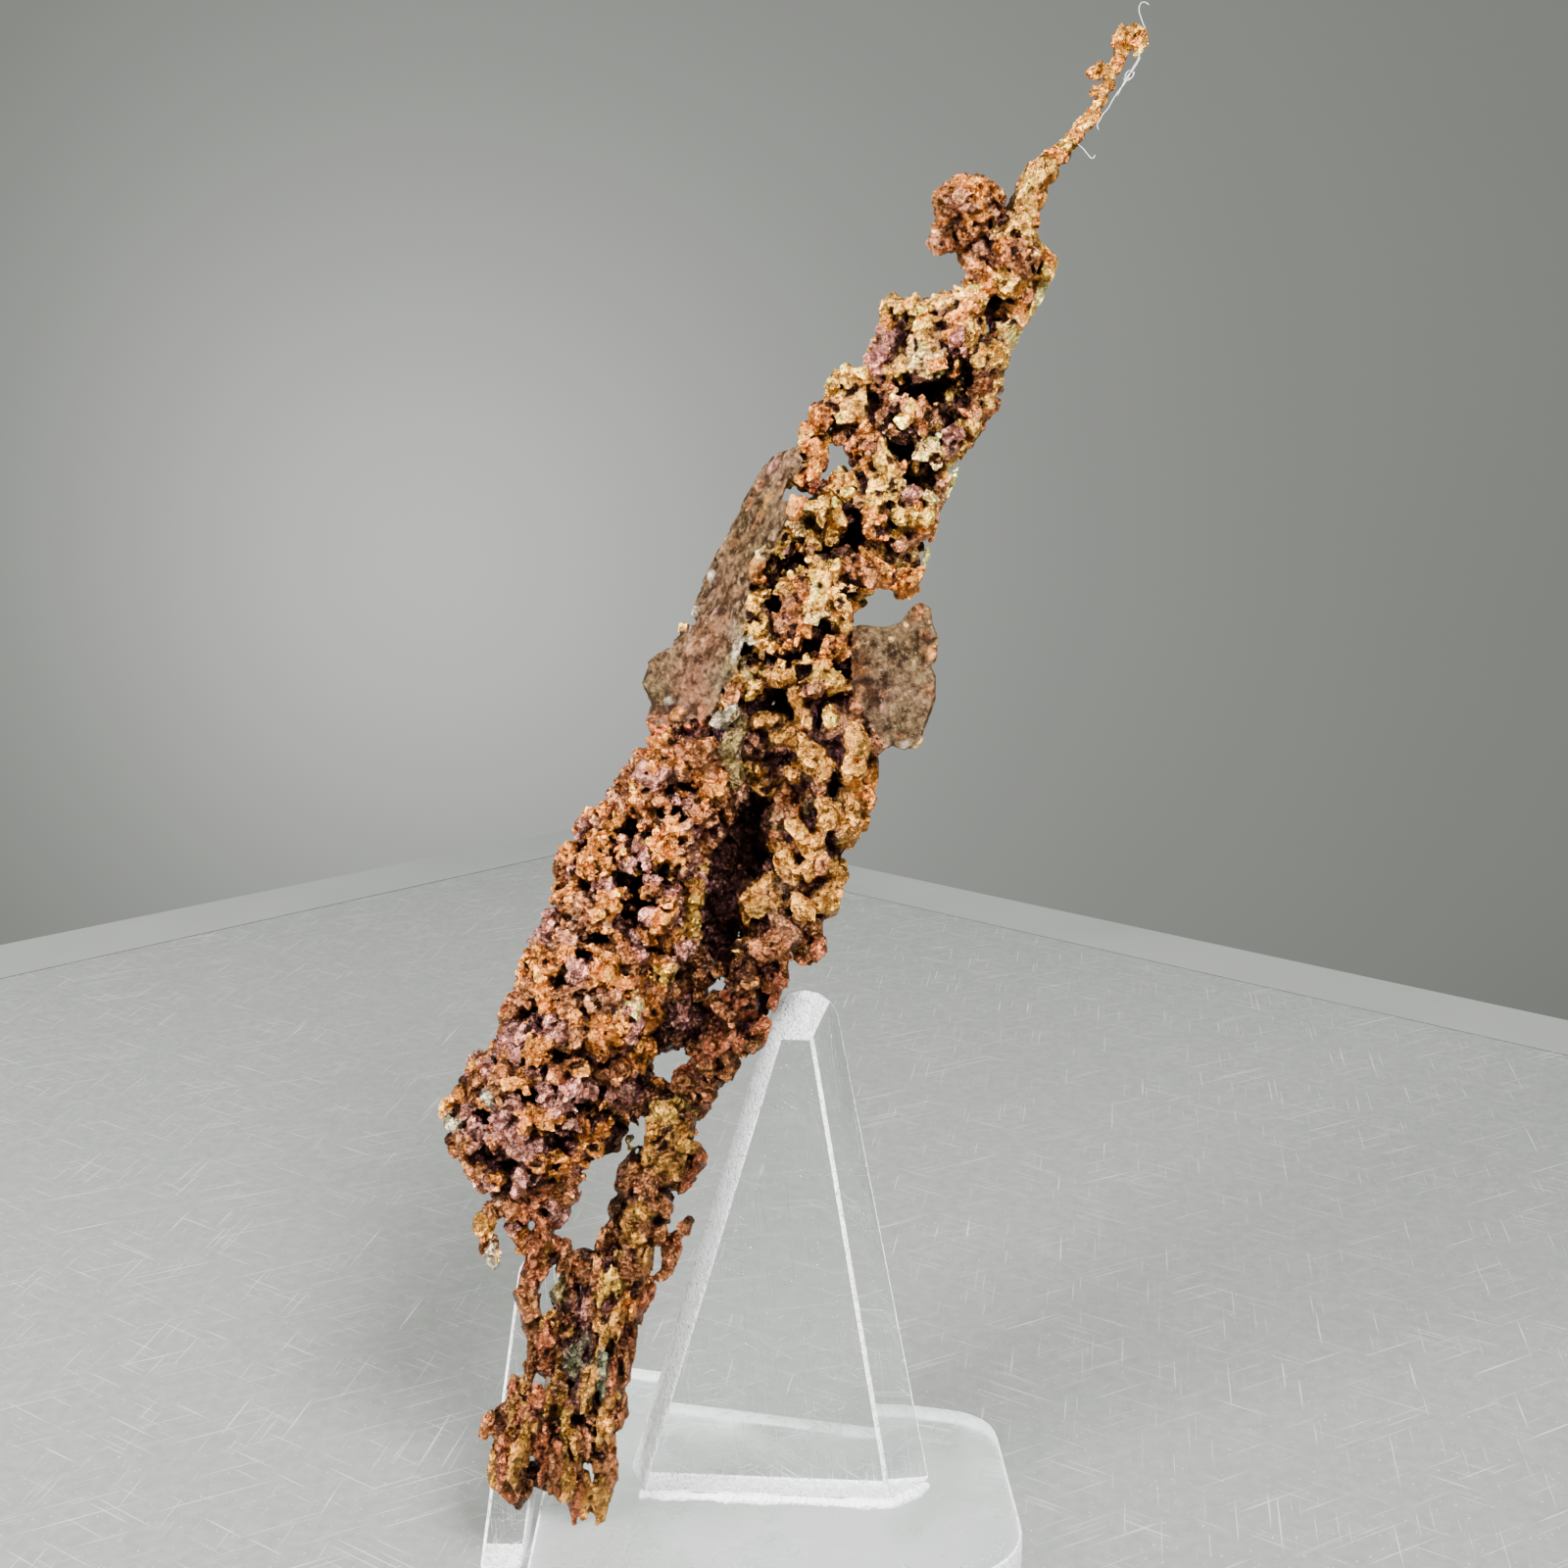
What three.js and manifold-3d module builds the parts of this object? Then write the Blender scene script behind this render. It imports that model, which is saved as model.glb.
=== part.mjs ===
// Native copper specimen, spongy and branching, leaning on a small clear acrylic easel.
// Units are millimetres, +Z is up, and +Y points to the back of the easel.
// The copper is first described in its own flat layout: across (to the right), along (up the
// specimen) and out (towards the viewer). That layout is then leaned back and stood on the base.

import * as THREE from 'three';
import { mergeVertices } from 'three/addons/utils/BufferGeometryUtils.js';
import { ConvexGeometry } from 'three/addons/geometries/ConvexGeometry.js';
import Module from 'manifold-3d';

const wasm = await Module();
wasm.setup();

// ---- Driving dimensions -------------------------------------------------------------------

const copperLeanBack = THREE.MathUtils.degToRad(13);
const copperAxisTilt = THREE.MathUtils.degToRad(20);
const coreHalfThickness = 1.2;
const restingGap = 0.3;

const acrylicThickness = 3.2;
const baseCornerRadius = 3.5;

const supportLeanBack = THREE.MathUtils.degToRad(14);
const supportTurn = THREE.MathUtils.degToRad(-4);
const supportFoot = [5, 2.9];
const supportTopRadius = 3;

const prongLeanBack = THREE.MathUtils.degToRad(25);
const prongFoot = [-7.8, -0.7];
const prongTopRadius = 1.7;

// ---- Small helpers ------------------------------------------------------------------------

// Repeatable pseudo-random numbers, so that the specimen is the same every time it is built.
function seededRandom(seed) {
  let state = seed;
  return () => {
    state = (state * 1664525 + 1013904223) % 4294967296;
    return state / 4294967296;
  };
}

function toSolid(geometry) {
  const bare = geometry.clone();
  bare.deleteAttribute('normal');
  bare.deleteAttribute('uv');
  const merged = mergeVertices(bare, 1e-4);
  const vertProperties = new Float32Array(merged.attributes.position.array);
  const triVerts = new Uint32Array(merged.index.array);
  return new wasm.Manifold(new wasm.Mesh({ numProp: 3, vertProperties, triVerts }));
}

function toGeometry(solid) {
  const mesh = solid.getMesh();
  const geometry = new THREE.BufferGeometry();
  geometry.setAttribute('position', new THREE.BufferAttribute(mesh.vertProperties, 3));
  geometry.setIndex(new THREE.BufferAttribute(mesh.triVerts, 1));
  geometry.computeVertexNormals();
  return geometry;
}

function joinAll(solids) {
  return solids.reduce((whole, solid) => whole.add(solid));
}

function outlineToShape(outline, holes = []) {
  const shape = new THREE.Shape(outline.map(([across, along]) => new THREE.Vector2(across, along)));
  for (const hole of holes) {
    shape.holes.push(new THREE.Path(hole.map(([across, along]) => new THREE.Vector2(across, along))));
  }
  return shape;
}

// A flat plate with the given outline, between two heights out of the layout's plane.
function plate(outline, back, front, holes = []) {
  const geometry = new THREE.ExtrudeGeometry(outlineToShape(outline, holes), {
    depth: front - back,
    bevelEnabled: false,
  });
  geometry.translate(0, 0, back);
  return geometry;
}

// ---- Copper: the layout -------------------------------------------------------------------

// Outlines of the specimen's regions, as [across, along].
const upperBody = [
  [31.6, 101.8], [33.5, 103.2], [36, 102.4], [37.3, 99.2], [36, 95.6], [34, 92.4], [33.2, 89.2],
  [31.3, 85.4], [29.6, 83], [28.3, 79.6], [27.2, 75.4], [26.6, 73.2], [24.4, 73.6], [22.6, 72.6],
  [21.4, 70.6], [22.6, 66], [13, 66], [7.6, 68.4], [9.2, 71], [10.6, 74.2], [12.2, 77.4],
  [13.2, 79.6], [14.8, 82.4], [17, 83.8], [18.2, 87], [20.4, 89.8], [22.8, 91.4], [23.6, 94.4],
  [24.8, 96.2], [26.2, 95.4], [29.2, 96], [30.8, 97.8],
];
const middle = [
  [22.4, 70], [23.6, 65], [24, 61.4], [23.4, 60], [23, 56.8], [22, 53.2], [20.6, 50], [19.8, 47],
  [19, 44.4], [16.4, 43.4], [14.2, 46], [11.2, 47.6], [9.6, 52], [7.6, 56], [4.6, 60], [5.8, 62.4],
  [6, 64], [5.6, 65.8], [6.2, 67.4], [8, 68.6], [10, 72],
];
const lobe = [
  [4.6, 60.2], [3.4, 58.2], [1.7, 56], [0.3, 55], [-1.6, 52.4], [-2.2, 48.6], [-4.5, 43.6],
  [-5.6, 40.6], [-6.2, 38], [-8.4, 36.6], [-9.6, 34.8], [-10.5, 32.6], [-10.3, 30], [-8.7, 27.4],
  [-6.8, 25], [-5, 23.8], [-3.2, 23.6], [-1, 25], [0.8, 26.6], [2.6, 30], [3.8, 34.2], [5.8, 38.8],
  [7.7, 43.8], [10, 51.6], [12.4, 57], [8, 61],
];
const tail = [
  [-4, 24.4], [-4.2, 20.8], [-4.6, 19], [-4.7, 16], [-3.8, 13], [-4.2, 11.4], [-3, 8], [-2.6, 5],
  [-2.6, 2.9], [-1.8, 2.7], [-0.8, 1.1], [0.4, 0.5], [2.2, 0.9], [3, 3.6], [3.1, 7], [4, 10.2],
  [4.6, 14], [5.6, 18.2], [7, 22.6], [3, 21.2], [0, 21.4], [-2.4, 22.2],
];
const tailRightHalf = [[0.4, 2], [3, 3.6], [4, 10.2], [5.6, 18.2], [7, 22.6], [2, 21], [0, 10]];
const tailBack = -0.1;
const tailFront = 2.1;

// The cluster at the lower left of the tail stands forward of it.
const footCluster = [
  [-3.4, 12], [-5, 11.4], [-6.4, 9.4], [-7.8, 7.8], [-6.4, 6.6], [-6.8, 4], [-6, 2.8], [-4.8, 1.7],
  [-3.6, 2.6], [-2, 3.4], [-1.6, 9],
];
const footClusterBack = 1.6;
const footClusterFront = 3.6;

// The thin web, set back, that ties the lobe to the strand at its right.
const web = [
  [9, 54], [11, 58], [15, 58], [16, 52], [16.6, 43.6], [14.6, 39.2], [11.8, 35.4], [9.4, 32],
  [8, 28], [5.6, 25], [3.4, 28.4], [3.2, 31], [4.6, 36], [6.4, 40], [8, 45],
];
const webHoles = [
  [[9.8, 41.4], [11.4, 41], [12, 42.4], [10.9, 43.4], [9.9, 42.8]],
  [[6.2, 34.6], [7.5, 34], [8.6, 35.6], [8, 37.6], [6.7, 37.8], [6.1, 36.2]],
  [[3.8, 29.6], [5, 29.2], [5.5, 31], [4.8, 32.2], [3.9, 31.4]],
];
const webBack = -2.4;
const webFront = -0.6;

// See-through holes in those regions, as [across, along].
const upperHoles = [
  [[19.2, 81.8], [20.6, 82.6], [20.4, 85.6], [19.2, 84.8]],
  [[16.4, 80], [18.4, 80.2], [18.2, 81.2], [16.6, 81]],
];
const tailHoles = [
  [[-3, 16.4], [-1.4, 17], [-1.4, 19.6], [-2.8, 19.4]],
  [[-3.2, 10.7], [-2, 10.7], [-2, 11.7], [-3.2, 11.7]],
];

// Large masses under the crystals: centre [across, along, out] and half sizes across, along
// and out. The long direction of each lies along the specimen.
const masses = [
  { centre: [34.6, 98.6, 0.2], half: [2.5, 4.2, 2.8] },
  { centre: [30.2, 92.6, 0.3], half: [4.4, 5.2, 3.8] },
  { centre: [26.8, 86.4, 0], half: [4.8, 6, 4.2] },
  { centre: [23.4, 80, 0.2], half: [5, 6, 4.4] },
  { centre: [20.2, 74, 0.3], half: [4.8, 6, 4.6] },
  { centre: [16.8, 67.4, 0], half: [5, 6, 4.8] },
  { centre: [19, 60.6, 0.5], half: [4.4, 5, 4.4] },
  { centre: [19.6, 53.4, 0.6], half: [2.8, 5.4, 3.8] },
  { centre: [17.6, 47, 0], half: [2.2, 3.8, 2.8] },
  { centre: [11.6, 63.4, -0.4], half: [4.6, 5.6, 4] },
  { centre: [7.4, 56.4, 0.8], half: [4, 5, 4.2] },
  { centre: [3.8, 49.4, 1], half: [4.8, 6.2, 4.8] },
  { centre: [0.8, 41.8, 1], half: [5.2, 6.2, 4.8] },
  { centre: [-2.6, 34.8, 0.8], half: [5.4, 5.4, 4.4] },
  { centre: [-4.8, 29.4, 0.5], half: [4.4, 4, 3.6] },
  { centre: [2.2, 17, 0], half: [3, 5, 2.8] },
  { centre: [1, 9.8, 0.4], half: [3, 5.4, 3.2] },
  { centre: [-4.2, 5.4, 3.2], half: [2.1, 3, 1.5] },
  { centre: [1.3, 3.6, 0.2], half: [1.3, 3, 2] },
];

// Branches: points [across, along, out, radius] along each one.
const branches = {
  spike: [
    [34.4, 101.6, 0, 2.2], [35.8, 104.4, 0.2, 1.6], [37.6, 106.8, 0.2, 1.15],
    [39.2, 108.9, 0, 0.85], [40.9, 111, 0, 0.6], [41.8, 112.8, 0, 0.6], [42.8, 114.9, 0, 0.65],
  ],
  spikeHook: [[42.8, 114.9, 0, 0.6], [42.6, 116, 0, 0.6], [43.2, 117, 0.1, 0.6], [44, 116.6, 0.2, 0.6]],
  spikeBud: [[41.6, 113.2, 0, 0.5], [40.6, 113.8, 0.2, 0.75]],
  knobNeck: [[33.6, 101.6, 0, 1.8], [31.6, 101.6, 0.4, 1.7]],
  strand: [
    [16.8, 45.4, -0.2, 2.1], [15, 41.4, -0.2, 2.1], [12.8, 38.4, 0, 2.1], [10.6, 35.4, 0, 2],
    [9, 32.2, 0, 1.9], [8, 28.9, 0, 2.1], [6.4, 25.6, 0, 2], [5.2, 22, 0, 2.1],
  ],
  backRest: [[15.2, 41, -0.6, 1.8], [15.6, 39.4, -1.5, 1.3]],
  hookFinger: [[-5.4, 25.4, 0.6, 1.1], [-7.2, 21.4, 1, 1.2]],
  smallFinger: [[5.6, 18, 0, 0.9], [7.2, 21, 0.2, 1], [8.3, 23.2, 0, 0.8]],
  sideNodule: [[8.4, 29, 0.4, 1.2], [9.7, 27.6, 0.6, 1.2]],
  leftSpur: [[-5.2, 7.6, 2.8, 1.1], [-7.6, 7.8, 2.9, 0.8]],
  spine: [[8, 68.4, 0, 0.8], [8.4, 70.7, 0, 0.45]],
  lobeTip: [[5.2, 59, 0, 0.9], [4.3, 60.5, 0, 0.55]],
};

// The round nodule beside the spike, and its smaller side lobe: [across, along, out, radius].
const roundNodules = [[30.4, 102.7, 0.6, 2.6], [28.7, 100.7, 0.9, 1.3]];

// The smooth fin on the right, as [across, along].
const fin = [
  [20, 68.6], [22, 70.6], [24, 70.3], [25.3, 70.7], [26.1, 71.8], [27, 72.2], [27.8, 71.3],
  [28.2, 69.6], [27.9, 67.4], [28.1, 65], [27.4, 62.8], [26.7, 61.4], [25.6, 60.6], [24.2, 61.2],
  [22.6, 62.2], [20.4, 64],
];
const finThickness = 0.9;
const finOut = 1.6;

// The smooth sheet on the left: its ridge faces the viewer, its outer edge lies further back.
const sheetRidge = [[17.4, 81.6], [15.4, 77.6], [13.6, 73], [12.2, 68.6], [11, 63.6], [10.2, 59.4]];
const sheetEdge = [[14.6, 82.2], [12, 77.4], [9.8, 73], [7.4, 68.6], [5.8, 64.4], [5.4, 60.4]];
const sheetRidgeOut = 3.9;
const sheetEdgeOut = -0.6;
const sheetThickness = 1.4;

// Deep pits: centre [across, along, out] and half sizes across, along and out.
const pits = [
  { centre: [12.4, 51.6, 2.6], half: [2.2, 5.2, 4.2] },
  { centre: [27.2, 88.4, 4], half: [1.7, 2, 2.6] },
  { centre: [25.5, 93.2, 3.6], half: [0.9, 1, 2.2] },
  { centre: [25.2, 84.2, 4], half: [1, 1, 2.4] },
  { centre: [20.2, 76.4, 4.4], half: [2, 1.1, 2.4] },
  { centre: [16.9, 75.4, 4.6], half: [1.1, 1, 2] },
  { centre: [15.6, 64.6, 4.8], half: [0.6, 1.1, 2.4] },
  { centre: [31.8, 94, 3.4], half: [0.5, 1.1, 1.8] },
  { centre: [1.5, 9.6, 3.6], half: [0.6, 1, 1.8] },
  { centre: [-0.2, 8.2, 3.8], half: [0.5, 0.9, 1.8] },
  { centre: [2.6, 13.6, 2.8], half: [0.4, 0.8, 1.6] },
  { centre: [-0.6, 53.6, 3], half: [1, 1.6, 1.8] },
  { centre: [22, 86, -4], half: [1.6, 2.4, 2.4] },
  { centre: [17, 72, -4.6], half: [2, 2.6, 2.4] },
  { centre: [5, 52, -4], half: [2, 3, 2.4] },
  { centre: [-2, 38, -4], half: [2, 2.6, 2.2] },
];

// Where crystals stand on the faces (front 1, back -1) and along the edges of each region.
const crystalFaces = [
  { outline: upperBody, holes: upperHoles, spacing: 5.2, size: 1.9 },
  { outline: middle, spacing: 5.2, size: 2 },
  { outline: lobe, spacing: 5.2, size: 1.8 },
  { outline: tail, holes: tailHoles, spacing: 4.4, size: 1.4, sides: [1] },
  { outline: tailRightHalf, spacing: 4.4, size: 1.4, sides: [-1] },
  { outline: footCluster, spacing: 3.4, size: 0.95, sides: [1] },
];
const crystalEdges = [
  { outline: upperBody, size: 0.9 },
  { outline: middle, size: 0.9 },
  { outline: lobe, size: 0.8 },
  { outline: tail, size: 0.7, centreOut: 1.9 },
  { outline: footCluster, size: 0.6, centreOut: 3.7 },
];
const faceSeed = 21;
const edgeSeed = 31;
const branchSeed = 417;

// ---- Copper: the solids -------------------------------------------------------------------

// Copper grows as octahedra, cubes and many-faced grains of about unit radius.
const crystalForms = [
  new THREE.OctahedronGeometry(1.1),
  new THREE.BoxGeometry(1.35, 1.35, 1.35),
  new THREE.IcosahedronGeometry(1),
  new THREE.OctahedronGeometry(1.1),
];

const fullTurn = 6.28;

function crystal(random, centre, half) {
  const form = crystalForms[Math.floor(random() * crystalForms.length)];
  const turn = new THREE.Euler(random() * fullTurn, random() * fullTurn, random() * fullTurn);
  const geometry = form.clone();
  geometry.applyMatrix4(new THREE.Matrix4().makeRotationFromEuler(turn));
  geometry.scale(...half);
  geometry.rotateZ(-copperAxisTilt);
  geometry.translate(...centre);
  return toSolid(geometry);
}

function mass({ centre, half }) {
  const geometry = new THREE.IcosahedronGeometry(1.06, 0);
  geometry.scale(...half);
  geometry.rotateZ(-copperAxisTilt);
  geometry.translate(...centre);
  return toSolid(geometry);
}

// A branch is a chain of crystals with a four-sided rod between each two of them.
function branch(random, points) {
  const solids = [];
  points.forEach(([across, along, out, radius], index) => {
    const here = new THREE.Vector3(across, along, out);
    solids.push(crystal(random, [across, along, out], [radius, radius * 1.25, radius]));
    if (index === 0) {
      return;
    }
    const [lastAcross, lastAlong, lastOut, lastRadius] = points[index - 1];
    const last = new THREE.Vector3(lastAcross, lastAlong, lastOut);
    const rod = new THREE.CylinderGeometry(radius * 0.75, lastRadius * 0.75, here.distanceTo(last), 4);
    const direction = here.clone().sub(last).normalize();
    rod.applyQuaternion(new THREE.Quaternion().setFromUnitVectors(new THREE.Vector3(0, 1, 0), direction));
    rod.translate(...here.add(last).multiplyScalar(0.5).toArray());
    solids.push(toSolid(rod));
  });
  return joinAll(solids);
}

// How far the masses stand out of the layout's plane at a place, on the front (+1) or back (-1).
function surfaceOut(across, along, side) {
  let reach = coreHalfThickness * side;
  for (const { centre, half } of masses) {
    const offAcross = across - centre[0];
    const offAlong = along - centre[1];
    const cos = Math.cos(copperAxisTilt);
    const sin = Math.sin(copperAxisTilt);
    const x = (offAcross * cos - offAlong * sin) / half[0];
    const y = (offAcross * sin + offAlong * cos) / half[1];
    const inside = 1 - x * x - y * y;
    if (inside > 0) {
      const out = centre[2] + side * half[2] * Math.sqrt(inside) * 0.86;
      reach = side > 0 ? Math.max(reach, out) : Math.min(reach, out);
    }
  }
  return reach;
}

function isInside(outline, across, along) {
  let inside = false;
  outline.forEach(([x1, y1], index) => {
    const [x2, y2] = outline[(index + 1) % outline.length];
    if (y1 > along !== y2 > along && across < ((x2 - x1) * (along - y1)) / (y2 - y1) + x1) {
      inside = !inside;
    }
  });
  return inside;
}

// Crystals spread over the front and the back of a region, on a jittered grid.
function faceCrystals(random, { outline, holes = [], spacing, size, sides = [1, -1] }) {
  const solids = [];
  const box = new THREE.Box2().setFromPoints(outline.map(([x, y]) => new THREE.Vector2(x, y)));
  for (let along = box.min.y; along < box.max.y; along += spacing) {
    for (let across = box.min.x; across < box.max.x; across += spacing) {
      for (const side of sides) {
        const x = across + (random() - 0.5) * spacing * 0.9;
        const y = along + (random() - 0.5) * spacing * 0.9;
        const radius = size * (0.65 + 0.7 * random());
        const blocked = holes.some((hole) => isInside(hole, x, y));
        if (!isInside(outline, x, y) || blocked) {
          continue;
        }
        const out = surfaceOut(x, y, side) - side * radius * 0.35;
        solids.push(crystal(random, [x, y, out], [radius, radius * 1.25, radius * 1.1]));
      }
    }
  }
  return solids;
}

// Crystals along a region's outline.
function edgeCrystals(random, { outline, size, centreOut = 0 }) {
  const everyThird = outline.filter((point, index) => index % 3 === 0);
  return everyThird.map(([across, along]) => {
    const radius = size * (0.7 + 0.6 * random());
    const out = centreOut + (random() - 0.5) * 2.4;
    return crystal(random, [across, along, out], [radius * 0.9, radius * 1.2, radius * 1.2]);
  });
}

// The smooth sheet: one flat strip between each two of its sections.
function buildSheet() {
  const sections = sheetRidge.map(([ridgeAcross, ridgeAlong], index) => {
    const [edgeAcross, edgeAlong] = sheetEdge[index];
    return [
      new THREE.Vector3(ridgeAcross, ridgeAlong, sheetRidgeOut),
      new THREE.Vector3(edgeAcross, edgeAlong, sheetEdgeOut),
      new THREE.Vector3(ridgeAcross + 1, ridgeAlong, sheetRidgeOut - sheetThickness),
      new THREE.Vector3(edgeAcross + 1, edgeAlong, sheetEdgeOut - sheetThickness),
    ];
  });
  const strips = sections
    .slice(1)
    .map((section, index) => toSolid(new ConvexGeometry([...sections[index], ...section])));
  return joinAll(strips);
}

// The outer skin of a solid: where crystals close off a gap between them, it is filled.
function outerSkin(solid) {
  return solid.decompose().reduce((a, b) => (a.volume() > b.volume() ? a : b));
}

function buildCopper() {
  const branchRandom = seededRandom(branchSeed);
  const solids = [
    toSolid(plate(upperBody, -coreHalfThickness, coreHalfThickness, upperHoles)),
    toSolid(plate(middle, -coreHalfThickness, coreHalfThickness)),
    toSolid(plate(lobe, -coreHalfThickness, coreHalfThickness)),
    toSolid(plate(tail, tailBack, tailFront, tailHoles)),
    toSolid(plate(footCluster, footClusterBack, footClusterFront)),
    toSolid(plate(web, webBack, webFront, webHoles)),
    toSolid(plate(fin, finOut - finThickness / 2, finOut + finThickness / 2)),
    buildSheet(),
    ...masses.map(mass),
    ...Object.values(branches).map((points) => branch(branchRandom, points)),
    ...roundNodules.map(([across, along, out, radius]) =>
      crystal(branchRandom, [across, along, out], [radius, radius, radius]),
    ),
    ...crystalFaces.flatMap((cover, index) => faceCrystals(seededRandom(faceSeed + index), cover)),
    ...crystalEdges.flatMap((cover, index) => edgeCrystals(seededRandom(edgeSeed + index), cover)),
  ];
  return outerSkin(pits.reduce((body, pit) => body.subtract(mass(pit)), joinAll(solids)));
}

const copperGeometry = toGeometry(buildCopper());

const copper = new THREE.Mesh(
  copperGeometry,
  new THREE.MeshStandardMaterial({ color: '#a8683a', roughness: 0.45, metalness: 0.9 }),
);
copper.name = 'native_copper';

// The lowest crystals of its foot stand on the base, whose top is at height 0 here.
const specimen = new THREE.Group();
specimen.rotation.x = Math.PI / 2 - copperLeanBack;
specimen.add(copper);
specimen.updateMatrixWorld(true);
const footHeight = new THREE.Box3().setFromObject(specimen, true).min.z;
specimen.position.z = restingGap - footHeight;

// ---- Easel: three pieces of clear acrylic sheet --------------------------------------------

const acrylic = {
  color: '#e6ebea',
  roughness: 0.08,
  metalness: 0,
  transparent: true,
  opacity: 0.35,
};

// The base's outline as [x, y], seen from above, with its corners rounded.
const baseOutline = [[-3.2, 24.2], [34, 14.8], [34.8, -4.5], [24, -13], [-3.2, -19]];

function roundedShape(outline, radius) {
  const shape = new THREE.Shape();
  outline.forEach(([x, y], index) => {
    const corner = new THREE.Vector2(x, y);
    const before = new THREE.Vector2(...outline[(index + outline.length - 1) % outline.length]);
    const after = new THREE.Vector2(...outline[(index + 1) % outline.length]);
    const start = corner.clone().add(before.sub(corner).setLength(radius));
    const end = corner.clone().add(after.sub(corner).setLength(radius));
    if (index === 0) {
      shape.moveTo(start.x, start.y);
    } else {
      shape.lineTo(start.x, start.y);
    }
    shape.quadraticCurveTo(corner.x, corner.y, end.x, end.y);
  });
  shape.closePath();
  return shape;
}

function buildBase() {
  const geometry = new THREE.ExtrudeGeometry(roundedShape(baseOutline, baseCornerRadius), {
    depth: acrylicThickness,
    bevelEnabled: false,
    curveSegments: 6,
  });
  geometry.translate(0, 0, -acrylicThickness);
  return geometry;
}

function topArc(centre, radius, steps) {
  const points = [];
  for (let step = 0; step <= steps; step += 1) {
    const angle = (Math.PI * step) / steps;
    points.push([centre[0] + radius * Math.cos(angle), centre[1] + radius * Math.sin(angle)]);
  }
  return points;
}

// A sheet leaning back: its front and rear outlines are joined by sloping edges.
function leaningSheet(front, rear, leanBack, cutHeight) {
  const points = [
    ...front.map(([x, y]) => new THREE.Vector3(x, y, 0)),
    ...rear.map(([x, y]) => new THREE.Vector3(x, y, -acrylicThickness)),
  ];
  const geometry = new ConvexGeometry(points);
  geometry.rotateX(Math.PI / 2 - leanBack);
  const cutDepth = 100;
  const below = new THREE.BoxGeometry(cutDepth, cutDepth, cutDepth);
  below.translate(0, 0, cutHeight - cutDepth / 2);
  return toGeometry(toSolid(geometry).subtract(toSolid(below)));
}

// The tall back support: a tapered sheet with a round top and a wide slope on its right.
const supportFront = [[-1.2, -3], [20.2, -3], [12.8, 36.8], [10.2, 36.8]];
const supportRear = [[-2.8, -3], [23.6, -3], ...topArc([12, 37.4], supportTopRadius, 8)];

// The short prong at the left, with square edges, whose foot stands beside the base.
const prongOutline = [[0, -6], [3.3, -6], ...topArc([4.3, 18.6], prongTopRadius, 8)];

function easelPiece(name, geometry) {
  const piece = new THREE.Mesh(geometry, new THREE.MeshStandardMaterial(acrylic));
  piece.name = name;
  return piece;
}

const base = easelPiece('easel_base', buildBase());

const support = easelPiece(
  'easel_back_support',
  leaningSheet(supportFront, supportRear, supportLeanBack, restingGap),
);
support.position.set(supportFoot[0], supportFoot[1], 0);
support.rotation.z = supportTurn;

const prong = easelPiece(
  'easel_front_prong',
  leaningSheet(prongOutline, prongOutline, prongLeanBack, -acrylicThickness),
);
prong.position.set(prongFoot[0], prongFoot[1], 0);

const easel = new THREE.Group();
easel.add(specimen, base, support, prong);

// The origin is at the middle of the whole object's box, on the ground.
easel.updateMatrixWorld(true);
const box = new THREE.Box3().setFromObject(easel, true);
const middleOfBox = box.getCenter(new THREE.Vector3());
easel.position.set(-middleOfBox.x, -middleOfBox.y, -box.min.z);

export default easel;
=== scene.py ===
import math

import bmesh
import bpy
import numpy as np
import openvdb
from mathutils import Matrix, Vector


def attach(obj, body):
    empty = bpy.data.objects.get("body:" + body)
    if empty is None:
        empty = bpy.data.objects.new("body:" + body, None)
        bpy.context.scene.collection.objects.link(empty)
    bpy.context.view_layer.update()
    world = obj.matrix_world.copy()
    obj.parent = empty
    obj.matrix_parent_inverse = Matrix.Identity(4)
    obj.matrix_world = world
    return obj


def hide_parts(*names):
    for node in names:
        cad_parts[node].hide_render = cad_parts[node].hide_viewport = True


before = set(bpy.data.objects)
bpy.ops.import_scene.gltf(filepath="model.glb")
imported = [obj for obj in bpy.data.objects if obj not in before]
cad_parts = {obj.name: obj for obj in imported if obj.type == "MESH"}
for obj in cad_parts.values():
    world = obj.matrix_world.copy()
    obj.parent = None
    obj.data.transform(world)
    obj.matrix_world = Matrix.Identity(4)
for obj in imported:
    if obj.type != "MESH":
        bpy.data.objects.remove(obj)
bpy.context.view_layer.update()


# ---- Viewpoint ----------------------------------------------------------------------------
# The copper leans back on its easel, and the camera looks down at it by the same angle, so it
# faces the copper squarely. Places on the copper are set out from the foot of its layout.

copper_lean = math.radians(13)
copper_foot = np.array([-0.0166669, -0.0041743, 0.0030353])
camera_from_foot = np.array([0.01615, -0.13704, 0.0908])


def placed(name, data):
    """Puts a mesh, a lamp or a camera in the scene, under a name of its own."""
    thing = bpy.data.objects.new(name, data)
    bpy.context.scene.collection.objects.link(thing)
    return thing


camera_data = bpy.data.cameras.new("view")
camera_data.sensor_width, camera_data.lens = 36, 45
camera_data.clip_start = 0.005
camera = placed("view", camera_data)
camera.location = copper_foot + camera_from_foot
camera.rotation_euler = (math.pi / 2 - copper_lean, 0, 0)
bpy.context.scene.camera = camera


# ---- Studio: table top, backdrop and softboxes -----------------------------------------------
# A pale scuffed table top with its far corner behind the easel, and a plain grey backdrop. A
# softbox stands to the right of the camera and above it, a weaker one stands at the left, and a
# small lamp behind the table throws a soft glow on the backdrop.

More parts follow.
